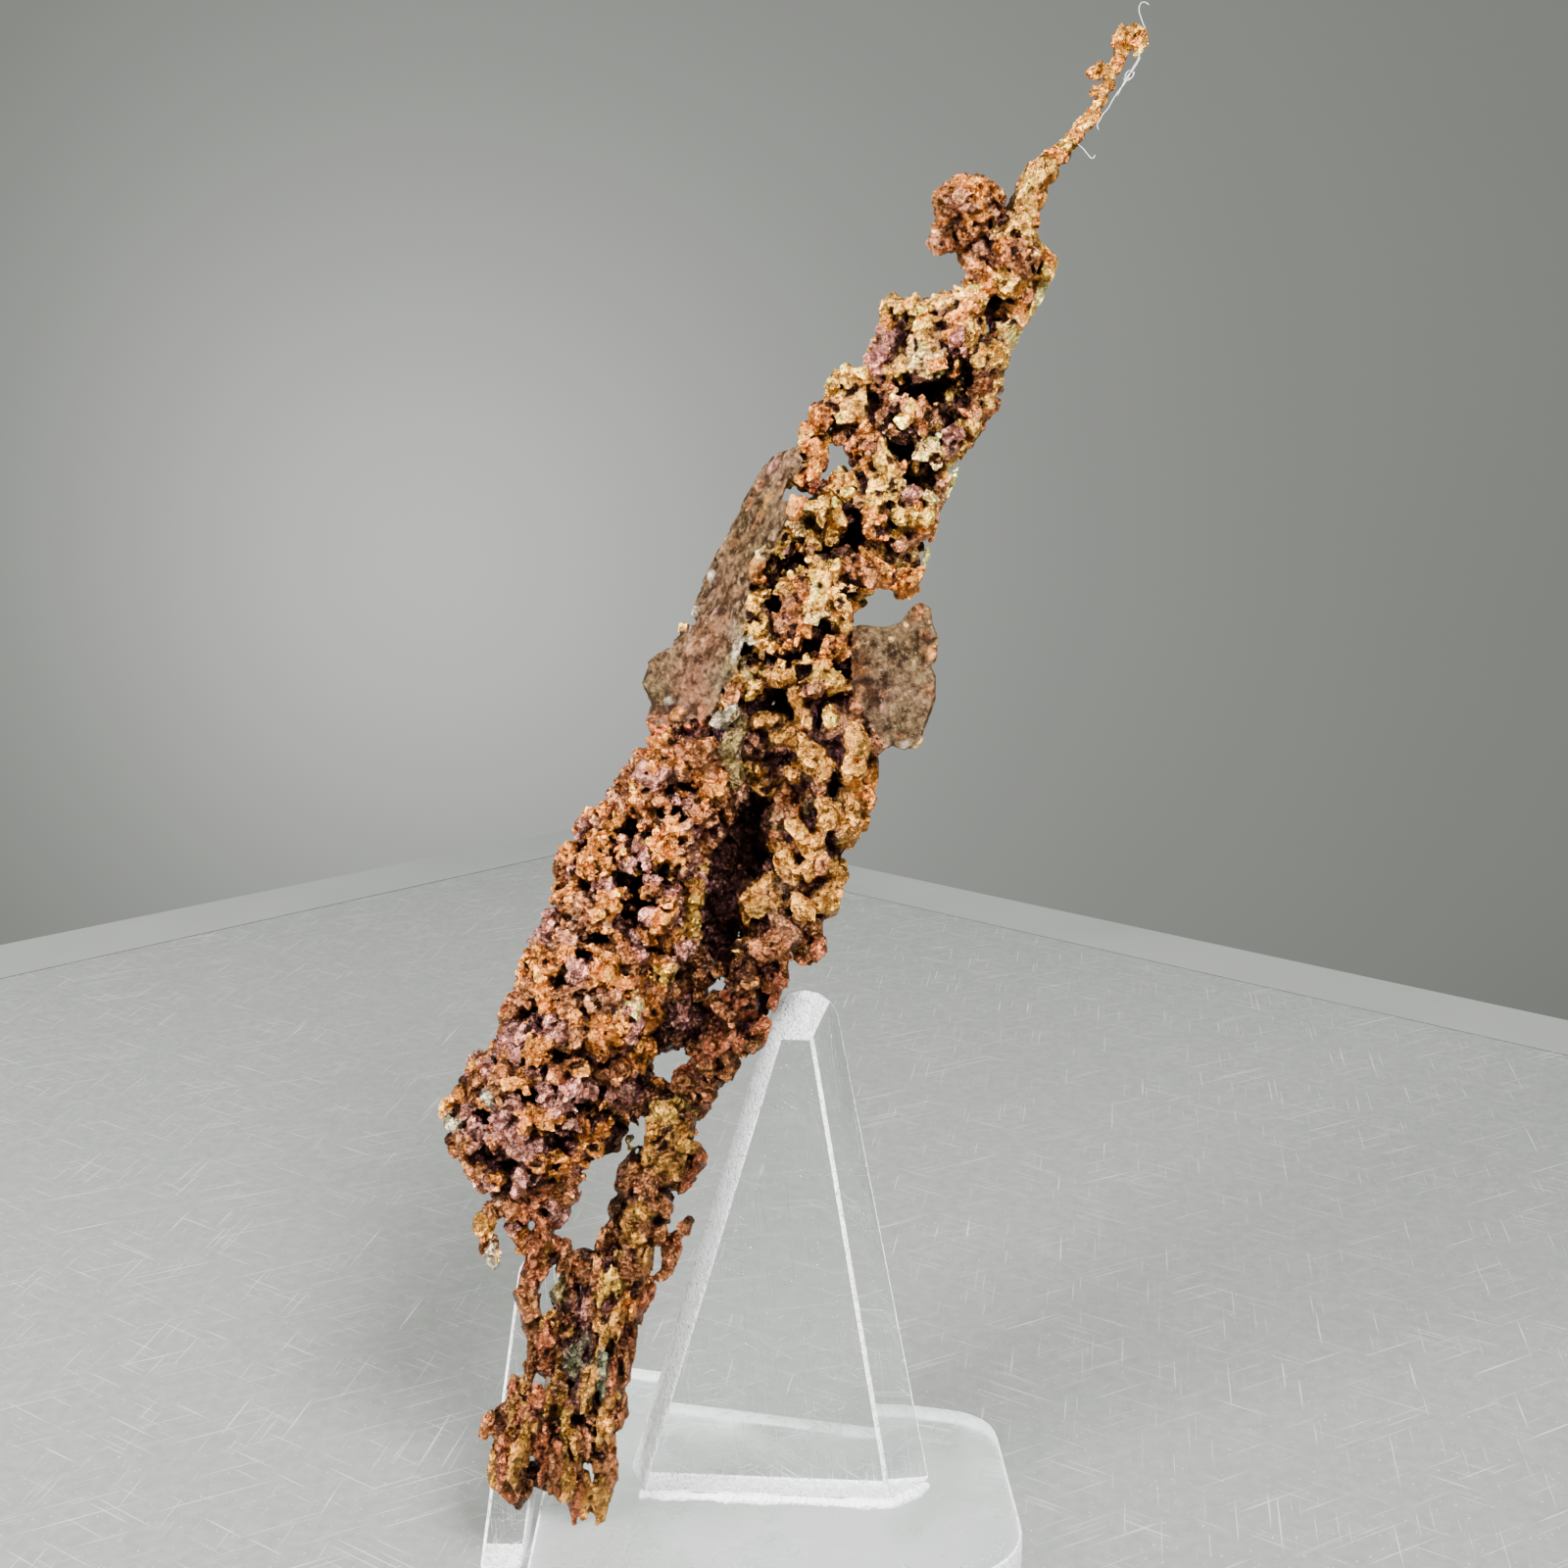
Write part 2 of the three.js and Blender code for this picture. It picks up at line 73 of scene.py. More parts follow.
table_height, lip_height = -0.0003, -0.0002
far_edge = [(-0.715, -0.38), (-0.0315, 0.2367), (1.095, -0.706)]
near_edge = [(-0.715, -1.4), (1.095, -1.4)]
lip_inner_edge = [(-0.715, -0.43), (-0.0315, 0.2187), (1.095, -0.724)]
backdrop_distance, backdrop_reach, backdrop_low, backdrop_high = 1.2, 3, -1.5, 2

table_corners = far_edge[:1] + near_edge + far_edge[:0:-1]
table_mesh = bpy.data.meshes.new("table_top")
table_mesh.from_pydata([(x, y, table_height) for x, y in table_corners], [], [(0, 1, 2, 3, 4)])
table = placed("table_top", table_mesh)

# Its far edges are a polished lip, painted a little lighter than the top as a painted sheen.
lip_mesh = bpy.data.meshes.new("table_lip")
lip_mesh.from_pydata(
    [(x, y, lip_height) for x, y in far_edge + lip_inner_edge], [], [(0, 3, 4, 1), (1, 4, 5, 2)]
)
lip = placed("table_lip", lip_mesh)

backdrop_mesh = bpy.data.meshes.new("backdrop")
backdrop_mesh.from_pydata(
    [
        (-backdrop_reach, backdrop_distance, backdrop_low),
        (backdrop_reach, backdrop_distance, backdrop_low),
        (backdrop_reach, backdrop_distance, backdrop_high),
        (-backdrop_reach, backdrop_distance, backdrop_high),
    ],
    [],
    [(0, 1, 2, 3)],
)
backdrop = placed("backdrop", backdrop_mesh)


def node(tree, kind, inputs=(), **settings):
    """Adds a node: its settings, and for each of its inputs a value or a socket to join it to."""
    added = tree.nodes.new("ShaderNode" + kind)
    for name, value in settings.items():
        setattr(added, name, value)
    for name, value in dict(inputs).items():
        if isinstance(value, bpy.types.NodeSocket):
            tree.links.new(value, added.inputs[name])
        else:
            added.inputs[name].default_value = value
    return added


def node_group(name, takes, gives):
    """A node group with named inputs and outputs, and the nodes at its two ends."""
    group = bpy.data.node_groups.new(name, "ShaderNodeTree")
    for way, sockets in (("INPUT", takes), ("OUTPUT", gives)):
        for label, kind in sockets.items():
            group.interface.new_socket(label, in_out=way, socket_type="NodeSocket" + kind)
    ends = group.nodes.new("NodeGroupInput"), group.nodes.new("NodeGroupOutput")
    return group, ends[0].outputs, ends[1].inputs


# Mottled colour: two tones in soft spots of a given size.
mottle, mottle_takes, mottle_gives = node_group(
    "mottled_colour",
    {"Spots per metre": "Float", "Dark": "Color", "Light": "Color"},
    {"Colour": "Color"},
)
here = node(mottle, "TexCoord").outputs["Object"]
spots = node(
    mottle, "TexNoise", {"Vector": here, "Scale": mottle_takes["Spots per metre"], "Detail": 8}
)
share = node(mottle, "MapRange", {"Value": spots.outputs["Fac"], "From Min": 0.3, "From Max": 0.7})
two_tones = {
    "Factor": share.outputs["Result"],
    "A": mottle_takes["Dark"],
    "B": mottle_takes["Light"],
}
tones = node(mottle, "Mix", two_tones, data_type="RGBA")
mottle.links.new(tones.outputs["Result"], mottle_gives["Colour"])


def mottled_tones(material, spots, dark, light):
    """Places the mottled colour in a material."""
    takes = {"Spots per metre": spots, "Dark": (*dark, 1), "Light": (*light, 1)}
    return node(material.node_tree, "Group", takes, node_tree=mottle).outputs["Colour"]


def mottled(name, roughness, spots, dark, light):
    """A plain material in two mottled tones, and the mottled colour in it."""
    paint = bpy.data.materials.new(name)
    paint.use_nodes = True
    shader = paint.node_tree.nodes["Principled BSDF"]
    shader.inputs["Roughness"].default_value = roughness
    tone = mottled_tones(paint, spots, dark, light)
    paint.node_tree.links.new(tone, shader.inputs["Base Color"])
    return paint, tone


# Fine scratches: short straight marks running one way, kept to a share of the surface.
scratching, scratch_takes, scratch_gives = node_group(
    "fine_scratches", {"Turn": "Vector", "Size": "Vector", "Least": "Float"}, {"Marks": "Float"}
)
stretched = {
    "Vector": node(scratching, "TexCoord").outputs["Object"],
    "Rotation": scratch_takes["Turn"],
    "Scale": scratch_takes["Size"],
}
stretched = node(scratching, "Mapping", stretched, vector_type="TEXTURE").outputs["Vector"]
streaks = node(scratching, "TexNoise", {"Vector": stretched, "Scale": 1, "Detail": 1.5})
most = node(scratching, "Math", {0: scratch_takes["Least"], 1: 0.05}, operation="ADD")
kept_share = {
    "Value": streaks.outputs["Fac"],
    "From Min": scratch_takes["Least"],
    "From Max": most.outputs["Value"],
}
kept_share = node(scratching, "MapRange", kept_share).outputs["Result"]
scratching.links.new(kept_share, scratch_gives["Marks"])


def scratches_in(material, turn, size, least):
    """Places scratches in a material: their turn, their size in metres and how rare they are."""
    takes = {"Turn": turn, "Size": size, "Least": least}
    return node(material.node_tree, "Group", takes, node_tree=scratching).outputs["Marks"]


# Scratches on the table: their turn, their size in metres and how rare they are.
table_scratches = [
    (0.5, (0.015, 0.00025, 1), 0.665),
    (-0.6, (0.01, 0.00022, 1), 0.67),
    (1.4, (0.012, 0.00025, 1), 0.675),
    (0.9, (0.0004, 0.0003, 1), 0.68),
]
scratch_tone = (0.34, 0.35, 0.34, 1)

table_paint, table_tone = mottled(
    "pale_table_top", 0.5, 900, (0.16, 0.168, 0.153), (0.194, 0.203, 0.187)
)
table_tree = table_paint.node_tree
for turn, size, least in table_scratches:
    marks = scratches_in(table_paint, (0, 0, turn), size, least)
    scratched = {"Factor": marks, "A": table_tone, "B": scratch_tone}
    table_tone = node(table_tree, "Mix", scratched, data_type="RGBA").outputs["Result"]
table_tree.links.new(table_tone, table_tree.nodes["Principled BSDF"].inputs["Base Color"])
table_mesh.materials.append(table_paint)
# The lip's lighter tone is a painted sheen.
lip_sheen_paint, _ = mottled("table_lip_painted_sheen", 0.5, 30, (0.186, 0.195, 0.18), (0.22, 0.23, 0.214))
lip_mesh.materials.append(lip_sheen_paint)
wall_paint, _ = mottled("grey_backdrop", 0.9, 2, (0.362, 0.376, 0.348), (0.382, 0.397, 0.368))
backdrop_mesh.materials.append(wall_paint)

world = bpy.data.worlds.new("grey_room")
world.use_nodes = True
room = world.node_tree.nodes["Background"]
room.inputs["Color"].default_value = (0.6, 0.61, 0.6, 1)
room.inputs["Strength"].default_value = 0.265
bpy.context.scene.world = world


def softbox(name, place, aim, width, power):
    """A square lamp that the camera doesn't see: its place, what it faces, width and watts."""
    light = bpy.data.lights.new(name, "AREA")
    light.shape = "RECTANGLE"
    light.size = light.size_y = width
    light.energy = power
    holder = placed(name, light)
    holder.location = place
    holder.rotation_euler = (Vector(aim) - Vector(place)).to_track_quat("-Z", "Y").to_euler()
    holder.visible_camera = False


softbox("softbox_right", (0.17, -0.27, 0.42), (0, 0, 0.06), 0.17, 9.2)
softbox("softbox_left", (-0.3, -0.17, 0.2), (0, 0, 0.05), 0.16, 7.0)
softbox("backdrop_light", (-0.25, 0.88, -0.06), (-0.25, backdrop_distance, -0.06), 0.12, 1.3)


# ---- Native copper --------------------------------------------------------------------------
# A natural sponge of grown-together copper crystals, with a smooth sheet, a fin, branches and a
# thin spike, all of one growth. It starts from the main masses of the solid, and takes its
# outline, pits, crystals and skin here. Places are in millimetres, [across, along] as seen from
# the front, with out towards the viewer where it is given.

voxel = 0.19
grid_margin, grid_block = 1.6, 8
view_distance = 153.95
view_centre = (16.15, 57.646)
axis_tilt = math.radians(20)
growth_seed, tint_seed = 7, 5

whole_outline = [
    (34.16, 102.91), (34.93, 102.68), (36.47, 102.37), (36.55, 101.68), (36.01, 100.29),
    (36.63, 99.67), (37.78, 98.75), (37.24, 97.9), (36.55, 96.36), (35.7, 94.67), (34.47, 92.98),
    (34.01, 92.28), (33.55, 90.05), (33.16, 87.97), (32.31, 86.59), (31.78, 85.74), (31.08, 84.51),
    (29.93, 83.51), (29.39, 81.43), (28.39, 79.35), (27.7, 77.27), (27.16, 75.27), (27, 73.58),
    (26.31, 72.43), (25.31, 72.27), (24.46, 73.04), (23.39, 73.27), (22.92, 72.58), (22.31, 71.81),
    (21.15, 70.81), (22.08, 70.19), (24.08, 69.96), (25.31, 70.35), (26, 71.35), (26.85, 71.89),
    (27.7, 71.5), (27.85, 70.19), (28.31, 69.12), (28.08, 67.58), (27.7, 66.88), (28.08, 66.19),
    (28.08, 64.34), (27.54, 62.8), (26.85, 61.03), (25.62, 60.26), (24.46, 60.73), (23.85, 60.42),
    (23.46, 59.88), (23.46, 58.34), (23.31, 56.26), (22.77, 54.72), (22.23, 53.18), (20.85, 51.95),
    (21.08, 50.41), (20.54, 49.18), (20, 47.1), (19.15, 46.25), (19.31, 44.25), (18.15, 43.17),
    (16.77, 43.87), (16.61, 44.71), (16.3, 43.33), (16.38, 41.64), (15.84, 40.4), (15.23, 39.71),
    (15, 38.4), (14.53, 37.02), (13.69, 36.71), (12.92, 36.32), (12.15, 35.17), (11.76, 34.25),
    (10.84, 33.01), (10.3, 32.09), (9.38, 31.4), (8.76, 30.7), (9.38, 29.47), (9.99, 28.7),
    (9.99, 27.63), (9.22, 26.55), (8.45, 25.78), (7.61, 25.47), (7.22, 23.93), (6.91, 22.08),
    (6.37, 20.62), (5.68, 18), (5.22, 15.93), (4.68, 14.23), (4.53, 12.15), (4.14, 9.92),
    (3.68, 7.69), (3.14, 7), (3.14, 5.15), (2.99, 3.38), (2.6, 1.38), (2.29, -0.01), (1.45, -0.47),
    (0.99, 0.15), (0.52, -0.78), (0.06, -0.16), (-0.48, -0.47), (-0.71, 0.15), (-0.48, 0.99),
    (-1.71, 1.84), (-2.71, 2.38), (-3.86, 2.22), (-4.09, 1.38), (-4.79, 0.68), (-5.48, 1.53),
    (-6.33, 2.07), (-7.02, 2.92), (-7.02, 4.07), (-6.48, 4.3), (-6.4, 5.61), (-6.63, 6.53),
    (-6.94, 7.46), (-6.48, 8.38), (-5.94, 9.07), (-5.48, 9.92), (-5.1, 11), (-4.4, 11.69),
    (-3.71, 12.69), (-4.09, 13.92), (-4.63, 15.08), (-5.1, 15.93), (-4.94, 17.7), (-4.63, 18.85),
    (-4.09, 19.54), (-4.17, 20.39), (-4.48, 21.31), (-5.25, 22.08), (-5.86, 23.01), (-5.63, 23.78),
    (-6.02, 24.39), (-7.02, 24.93), (-7.87, 25.86), (-8.87, 27.01), (-10.25, 28.4), (-10.95, 29.63),
    (-10.41, 30.47), (-10.79, 31.47), (-10.87, 32.55), (-9.79, 33.4), (-9.64, 34.86),
    (-9.25, 35.63), (-8.71, 35.09), (-8.41, 36.63), (-7.4, 37.02), (-6.17, 37.48), (-6.48, 38.56),
    (-5.79, 40.63), (-4.79, 41.48), (-4.79, 43.02), (-4.09, 44.71), (-3.25, 46.1), (-2.63, 47.25),
    (-2.32, 48.33), (-2.02, 49.56), (-2.09, 51.1), (-1.79, 52.26), (-1.09, 52.57), (-0.63, 53.49),
    (-0.01, 54.72), (0.6, 55.41), (1.22, 55.49), (1.83, 56.11), (2.45, 57.18), (3.37, 58.11),
    (3.83, 59.19), (4.37, 59.88), (5.07, 60.57), (5.91, 61.42), (5.53, 62.42), (6.07, 63.96),
    (5.37, 65.65), (5.68, 66.88), (6.07, 67.42), (6.91, 68.04), (7.68, 68.11), (8.45, 69.04),
    (9.07, 69.96), (9.53, 70.58), (9.22, 71.19), (9.68, 72.58), (10.3, 74.12), (11.22, 75.97),
    (12.07, 77.2), (12.61, 78.74), (13.76, 80.82), (14.61, 82.28), (15.61, 83.28), (16.84, 83.97),
    (17.38, 84.9), (17.69, 86.43), (18.92, 88.28), (20.08, 89.82), (21, 90.67), (22.69, 91.36),
    (23.23, 92.75), (23.31, 93.82), (23.54, 94.52), (24.16, 95.83), (24.54, 96.36), (25, 95.67),
    (25.54, 95.52), (26.62, 95.9), (27.62, 95.67), (28.47, 96.29), (29.16, 96.21), (30.24, 96.9),
    (30.7, 97.9), (30.01, 98.29), (29.7, 98.98), (30.16, 99.52), (29.08, 99.52), (28.08, 99.29),
    (27.47, 99.98), (27.54, 100.75), (28.24, 101.68), (27.93, 103.06), (28, 103.98),
    (28.85, 104.75), (30.01, 104.83), (30.93, 105.14), (31.93, 105.06), (33.08, 104.45),
    (33.55, 103.45), (33.39, 102.14), (33.08, 101.52), (33.62, 101.83),
]

see_through = [
    [
        (10.15, 40.79), (10.15, 41.48), (10.53, 42.1), (10.99, 42.71), (11.76, 42.94),
        (11.99, 42.33), (11.38, 41.79), (10.68, 41.17),
    ],
    [
        (5.99, 36.48), (7.45, 37.02), (8.3, 36.79), (8.68, 35.94), (7.99, 35.32), (7.53, 34.71),
        (7.22, 33.71), (6.68, 34.32), (5.99, 34.71), (5.68, 35.79),
    ],
    [
        (4.6, 31.78), (5.22, 31.4), (5.53, 30.24), (5.14, 29.32), (4.6, 28.63), (3.6, 28.86),
        (3.68, 29.7), (4.22, 30.17), (4.45, 31.01),
    ],
    [
        (1.68, 28.09), (2.83, 28.47), (3.22, 27.63), (2.76, 26.63), (2.91, 25.86), (1.99, 24.78),
        (2.91, 23.85), (2.37, 23.01), (1.6, 22.01), (1.14, 21.24), (0.22, 21.47), (-1.02, 21.31),
        (-1.79, 21.85), (-2.17, 22.62), (-1.4, 23.01), (-0.86, 23.78), (-0.71, 24.55),
        (-0.17, 24.93), (0.22, 25.86), (0.45, 26.86), (1.14, 27.39),
    ],
    [(-4.71, 23.16), (-3.32, 23.47), (-3.17, 22.78), (-4.09, 22.39)],
    [
        (-1.86, 19.62), (-1.25, 19), (-1.32, 18.31), (-2.17, 18), (-2.09, 17.23), (-1.86, 16.62),
        (-2.48, 15.85), (-3.02, 15.46), (-3.25, 16.62), (-3.32, 17.85), (-3.17, 18.7), (-2.25, 19),
    ],
    [(-3.32, 11.31), (-2.55, 11.08), (-1.86, 11), (-2.25, 10.31), (-3.17, 10.31)],
    [
        (19.84, 85.36), (20.08, 84.43), (20.61, 84.2), (20.77, 83.43), (20.46, 82.59),
        (19.92, 82.05), (19.77, 81.59), (19.08, 81.28), (18.92, 81.74), (19.38, 82.51),
        (19.54, 83.28), (19.46, 84.2),
    ],
    [
        (15.92, 80.05), (16.69, 80.97), (17.92, 80.89), (18.77, 80.58), (18.38, 79.58),
        (17.54, 80.05), (16.77, 80.28),
    ],
    [(17.46, 78.51), (18.31, 78.74), (18.38, 77.97), (17.69, 77.97)],
    [(20.85, 82.51), (21.31, 82.35), (21.23, 81.51), (20.85, 81.66)],
    [(0.76, 3.76), (1.14, 3.76), (1.14, -0.09), (0.91, -0.55)],
]

# The open hollow between the lobe at the left and the strand at the right.
deep_cavity = [
    (13.46, 56.72), (12.53, 55.41), (11.53, 53.26), (10.53, 51.72), (10.3, 50.49), (10.22, 48.64),
    (9.84, 46.87), (10.07, 45.48), (10.84, 43.94), (11.92, 43.79), (12.46, 45.48), (12.3, 47.41),
    (12.84, 49.41), (14.46, 50.56), (14.84, 53.03), (15.07, 55.34), (14.76, 56.57),
]

# The smooth sheet at the left: its ridge stands forward, its outer edge lies further back.
sheet_outline = [
    (17.07, 84.05), (17.69, 83.05), (16.38, 81.35), (15.92, 79.97), (17.07, 79.66), (16.15, 78.04),
    (15.15, 76.35), (13.76, 74.04), (13.07, 72.27), (12.84, 70.5), (12.53, 68.42), (12.07, 66.34),
    (11.15, 64.96), (10.45, 63.03), (8.45, 62.65), (5.76, 62.5), (4.99, 65.57), (5.68, 67.42),
    (7.68, 69.19), (9.38, 70.19), (8.84, 71.5), (9.99, 74.12), (10.92, 75.97), (11.76, 77.2),
    (12.3, 78.74), (13.46, 80.82), (14.3, 82.28), (15.3, 83.59),
]
sheet_ridge = [(18.4, 84.2), (16.1, 79.6), (13.8, 74.2), (12.9, 70.4), (11.6, 66), (10.4, 62.4)]
sheet_edge = [(15.4, 83.6), (12.4, 77.4), (10.4, 72.4), (7, 68.8), (5.6, 65.6), (5.4, 62.4)]
sheet_ridge_out, sheet_edge_out, sheet_thickness = 3.7, -0.4, 1.2
sheet_slope = 0.72

fin_outline = [(20.92, 69.58), *whole_outline[30:46]]
fin_outline += [(23.85, 61.34), (22.77, 62.65), (22.15, 64.42), (20.61, 66.11), (19.61, 67.81)]
fin_out, fin_thickness, fin_rim, fin_rim_width, fin_start = 1.6, 0.85, 0.22, 1.2, 21.2

cavity_floor_out, cavity_widening = -2.1, 0.4
pit_widening, pit_deepening, pit_zone_deepening, pits_stop_out = 0.35, 1.4, 1.6, -1.5

# Branches: across, along, out, radius at each point along one.
branches = {
    "web_a": [
        (10.15, 46.1, -2.2, 1.15), (8.91, 41.87, -2.6, 1.08), (6.61, 38.4, -2.8, 1.08),
        (5.07, 35.17, -2.6, 1),
    ],
    "web_b": [(11.69, 44.18, -1.6, 0.92), (9.38, 40.56, -2.2, 0.69), (7.99, 37.79, -2.4, 0.69)],
    "flake_band": [
        (13.69, 71.66, 2.6, 0.54), (13.22, 69.96, 3, 0.62), (12.76, 68.27, 3.3, 0.69),
        (12.3, 66.42, 3.4, 0.77), (11.92, 64.42, 3.3, 0.77), (11.76, 62.11, 3, 0.69),
        (11.99, 59.96, 2.6, 0.62), (12.3, 58.26, 2.2, 0.46),
    ],
    "web_c": [(5.37, 35.48, -2.2, 0.92), (4.22, 32.4, -2, 0.69), (3.22, 29.47, -1.6, 0.69)],
    "spike": [
        (34.62, 101.83, 0, 1.46), (35.16, 103.37, 0, 1.27), (35.78, 104.83, 0.1, 1.15),
        (36.63, 105.99, 0.1, 0.96), (37.47, 106.91, 0.1, 0.81), (38.32, 107.83, 0, 0.69),
        (39.17, 108.68, 0, 0.58), (39.86, 109.53, 0.1, 0.52), (40.47, 110.22, 0, 0.48),
        (41.09, 111.53, -0.1, 0.4), (41.47, 112.3, 0, 0.4), (41.78, 113.07, 0, 0.43),
        (42.17, 114.07, 0.1, 0.48), (42.55, 114.92, 0.1, 0.54),
    ],
    "hook": [
        (42.55, 114.92, 0, 0.54), (42.4, 115.84, 0, 0.42), (42.63, 116.53, 0.1, 0.42),
        (43.17, 116.99, 0.2, 0.4), (43.86, 117.07, 0.2, 0.4), (44.25, 116.61, 0.2, 0.35),
        (44.25, 115.92, 0.2, 0.37), (43.86, 115.3, 0.2, 0.35),
    ],
    "hook_core": [
        (42.78, 115.38, -0.25, 0.54), (43.17, 116.07, -0.3, 0.58), (43.63, 116.15, -0.3, 0.46),
    ],
    "bud": [
        (41.63, 113.68, 0.1, 0.38), (40.94, 113.84, 0.3, 0.5), (40.32, 113.61, 0.3, 0.5),
        (40.71, 113.14, 0.3, 0.38),
    ],
    "small_bud": [(41.24, 112.3, 0.1, 0.31), (40.55, 112.07, 0.1, 0.32)],
    "spine": [(7.99, 68.27, 0, 0.46), (8.22, 69.35, 0.1, 0.34), (8.3, 70.27, 0.1, 0.31)],
    "fringe_a": [(10.3, 73.04, 0, 0.46), (10.61, 73.96, 0.1, 0.38)],
    "fringe_b": [(9.68, 70.42, 0, 0.38), (9.3, 71.04, 0.2, 0.49)],
    "fringe_c": [(6.3, 66.11, 0, 0.46), (5.68, 65.73, 0.1, 0.31)],
    "lobe_tip": [(4.99, 59.03, 0, 0.62), (4.45, 59.49, 0.1, 0.46), (4.22, 60.03, 0.1, 0.28)],
    "hook_finger": [
        (-6.02, 24.7, 0.8, 0.85), (-6.94, 24.08, 1, 0.88), (-7.33, 23.01, 1.1, 0.85),
        (-7.17, 21.93, 1.2, 0.73), (-6.79, 21.01, 1.3, 0.85), (-6.56, 20.24, 1.3, 0.77),
    ],
    "orange_bridge": [
        (-5.63, 23.93, 0.4, 0.54), (-5.17, 23.01, 0.4, 0.46), (-4.48, 22.08, 0.3, 0.62),
        (-4.02, 21.01, 0.2, 0.69), (-3.79, 19.93, 0.2, 0.69),
    ],
    "link": [
        (-2.63, 22.08, 0, 0.69), (-1.86, 21.47, 0, 0.5), (-0.78, 21.31, 0, 0.38),
        (0.37, 21.16, 0, 0.42), (1.37, 21.01, 0, 0.54),
    ],
    "left_tail": [
        (-3.48, 19.93, 0.4, 0.85), (-3.71, 18.7, 0.4, 0.92), (-4.02, 17.47, 0.4, 1),
        (-4.02, 16.23, 0.4, 1), (-3.48, 14.92, 0.4, 0.73), (-3.02, 13.62, 0.4, 0.73),
        (-2.86, 12.38, 0.6, 0.77),
    ],
    "small_finger": [
        (4.91, 16.54, 0.1, 0.54), (5.53, 17.47, 0.2, 0.54), (6.14, 18.54, 0.3, 0.54),
        (6.53, 19.31, 0.3, 0.58), (7.14, 20.7, 0.4, 0.69), (7.84, 21.93, 0.5, 0.73),
        (8.38, 23.01, 0.6, 0.69),
    ],
    "spur": [
        (-5.4, 7.23, 2.2, 0.92), (-6.63, 7.61, 2.6, 0.77), (-7.4, 7.15, 2.8, 0.62),
        (-8.02, 7.46, 2.8, 0.42),
    ],
    "foot_left": [(-6.56, 5.46, 2.6, 0.62), (-6.4, 3.76, 2.8, 0.69), (-5.4, 2.22, 2.8, 0.77)],
    "bottom_right": [
        (2.45, 6.07, 0.6, 0.69), (2.14, 3.76, 0.6, 0.81), (1.83, 1.45, 0.5, 0.77),
        (1.76, 0.3, 0.4, 0.58),
    ],
    "bottom_mid": [
        (0.29, 5.3, 0.8, 0.69), (0.37, 2.99, 0.8, 0.69), (0.29, 1.07, 0.7, 0.65),
        (-0.01, 0.07, 0.7, 0.46),
    ],
    "knob_neck": [(33.08, 101.37, 0.2, 0.92), (31.54, 100.44, 0.2, 0.92), (30.39, 99.06, 0, 0.77)],
    "strand_a": [
        (14.46, 44.71, 0.4, 1.08), (13.61, 43.02, 0.4, 1), (13.46, 41.1, 0.4, 1),
        (12.3, 39.17, 0.3, 1.23), (11.38, 37.48, 0.2, 1.08), (9.84, 35.94, 0.2, 1.08),
        (8.99, 34.09, 0.2, 1.08), (7.99, 32.24, 0.2, 1.23), (7.14, 29.94, 0.2, 1.38),
        (6.14, 27.24, 0.2, 1.46), (5.37, 24.16, 0.2, 1.46),
    ],
    "strand_b": [
        (16.15, 44.18, 0.6, 0.62), (15.92, 42.25, 0.6, 0.54), (15.38, 40.56, 0.6, 0.62),
        (14.46, 38.56, 0.4, 0.69), (13.53, 37.32, 0.3, 0.77), (11.92, 35.94, 0.2, 0.85),
        (10.61, 34.25, 0.2, 0.85),
    ],
    "nodule_side": [(7.68, 27.24, 0.4, 0.77), (8.99, 27.63, 0.6, 0.92)],
}
smooth_branches = ("spike", "hook", "hook_core", "bud", "small_bud")
inner_branches = ("strand_a", "strand_b", "web_a", "web_b", "web_c", "flake_band")

# The wall behind the hollow, painted dark there as painted shade.
web_outline = [
    (13.07, 58.03), (15.53, 55.34), (16.3, 49.95), (15.92, 45.33), (15.38, 42.25), (14.23, 39.17),
    (11.15, 35.71), (8.45, 33.01), (6.91, 30.7), (5.68, 32.24), (4.45, 33.01), (5.76, 37.63),
    (7.68, 43.41), (9.68, 51.49), (11.53, 55.34),
]
web_out, web_thickness = -2.6, 1.8

# The round nodule beside the spike.
knob = [
    (30.47, 102.91, 0.6, 2.46), (31.85, 102.91, 0.5, 1.38), (28.62, 100.21, 0.9, 1),
    (31.54, 101.37, 0.3, 1.08),
]

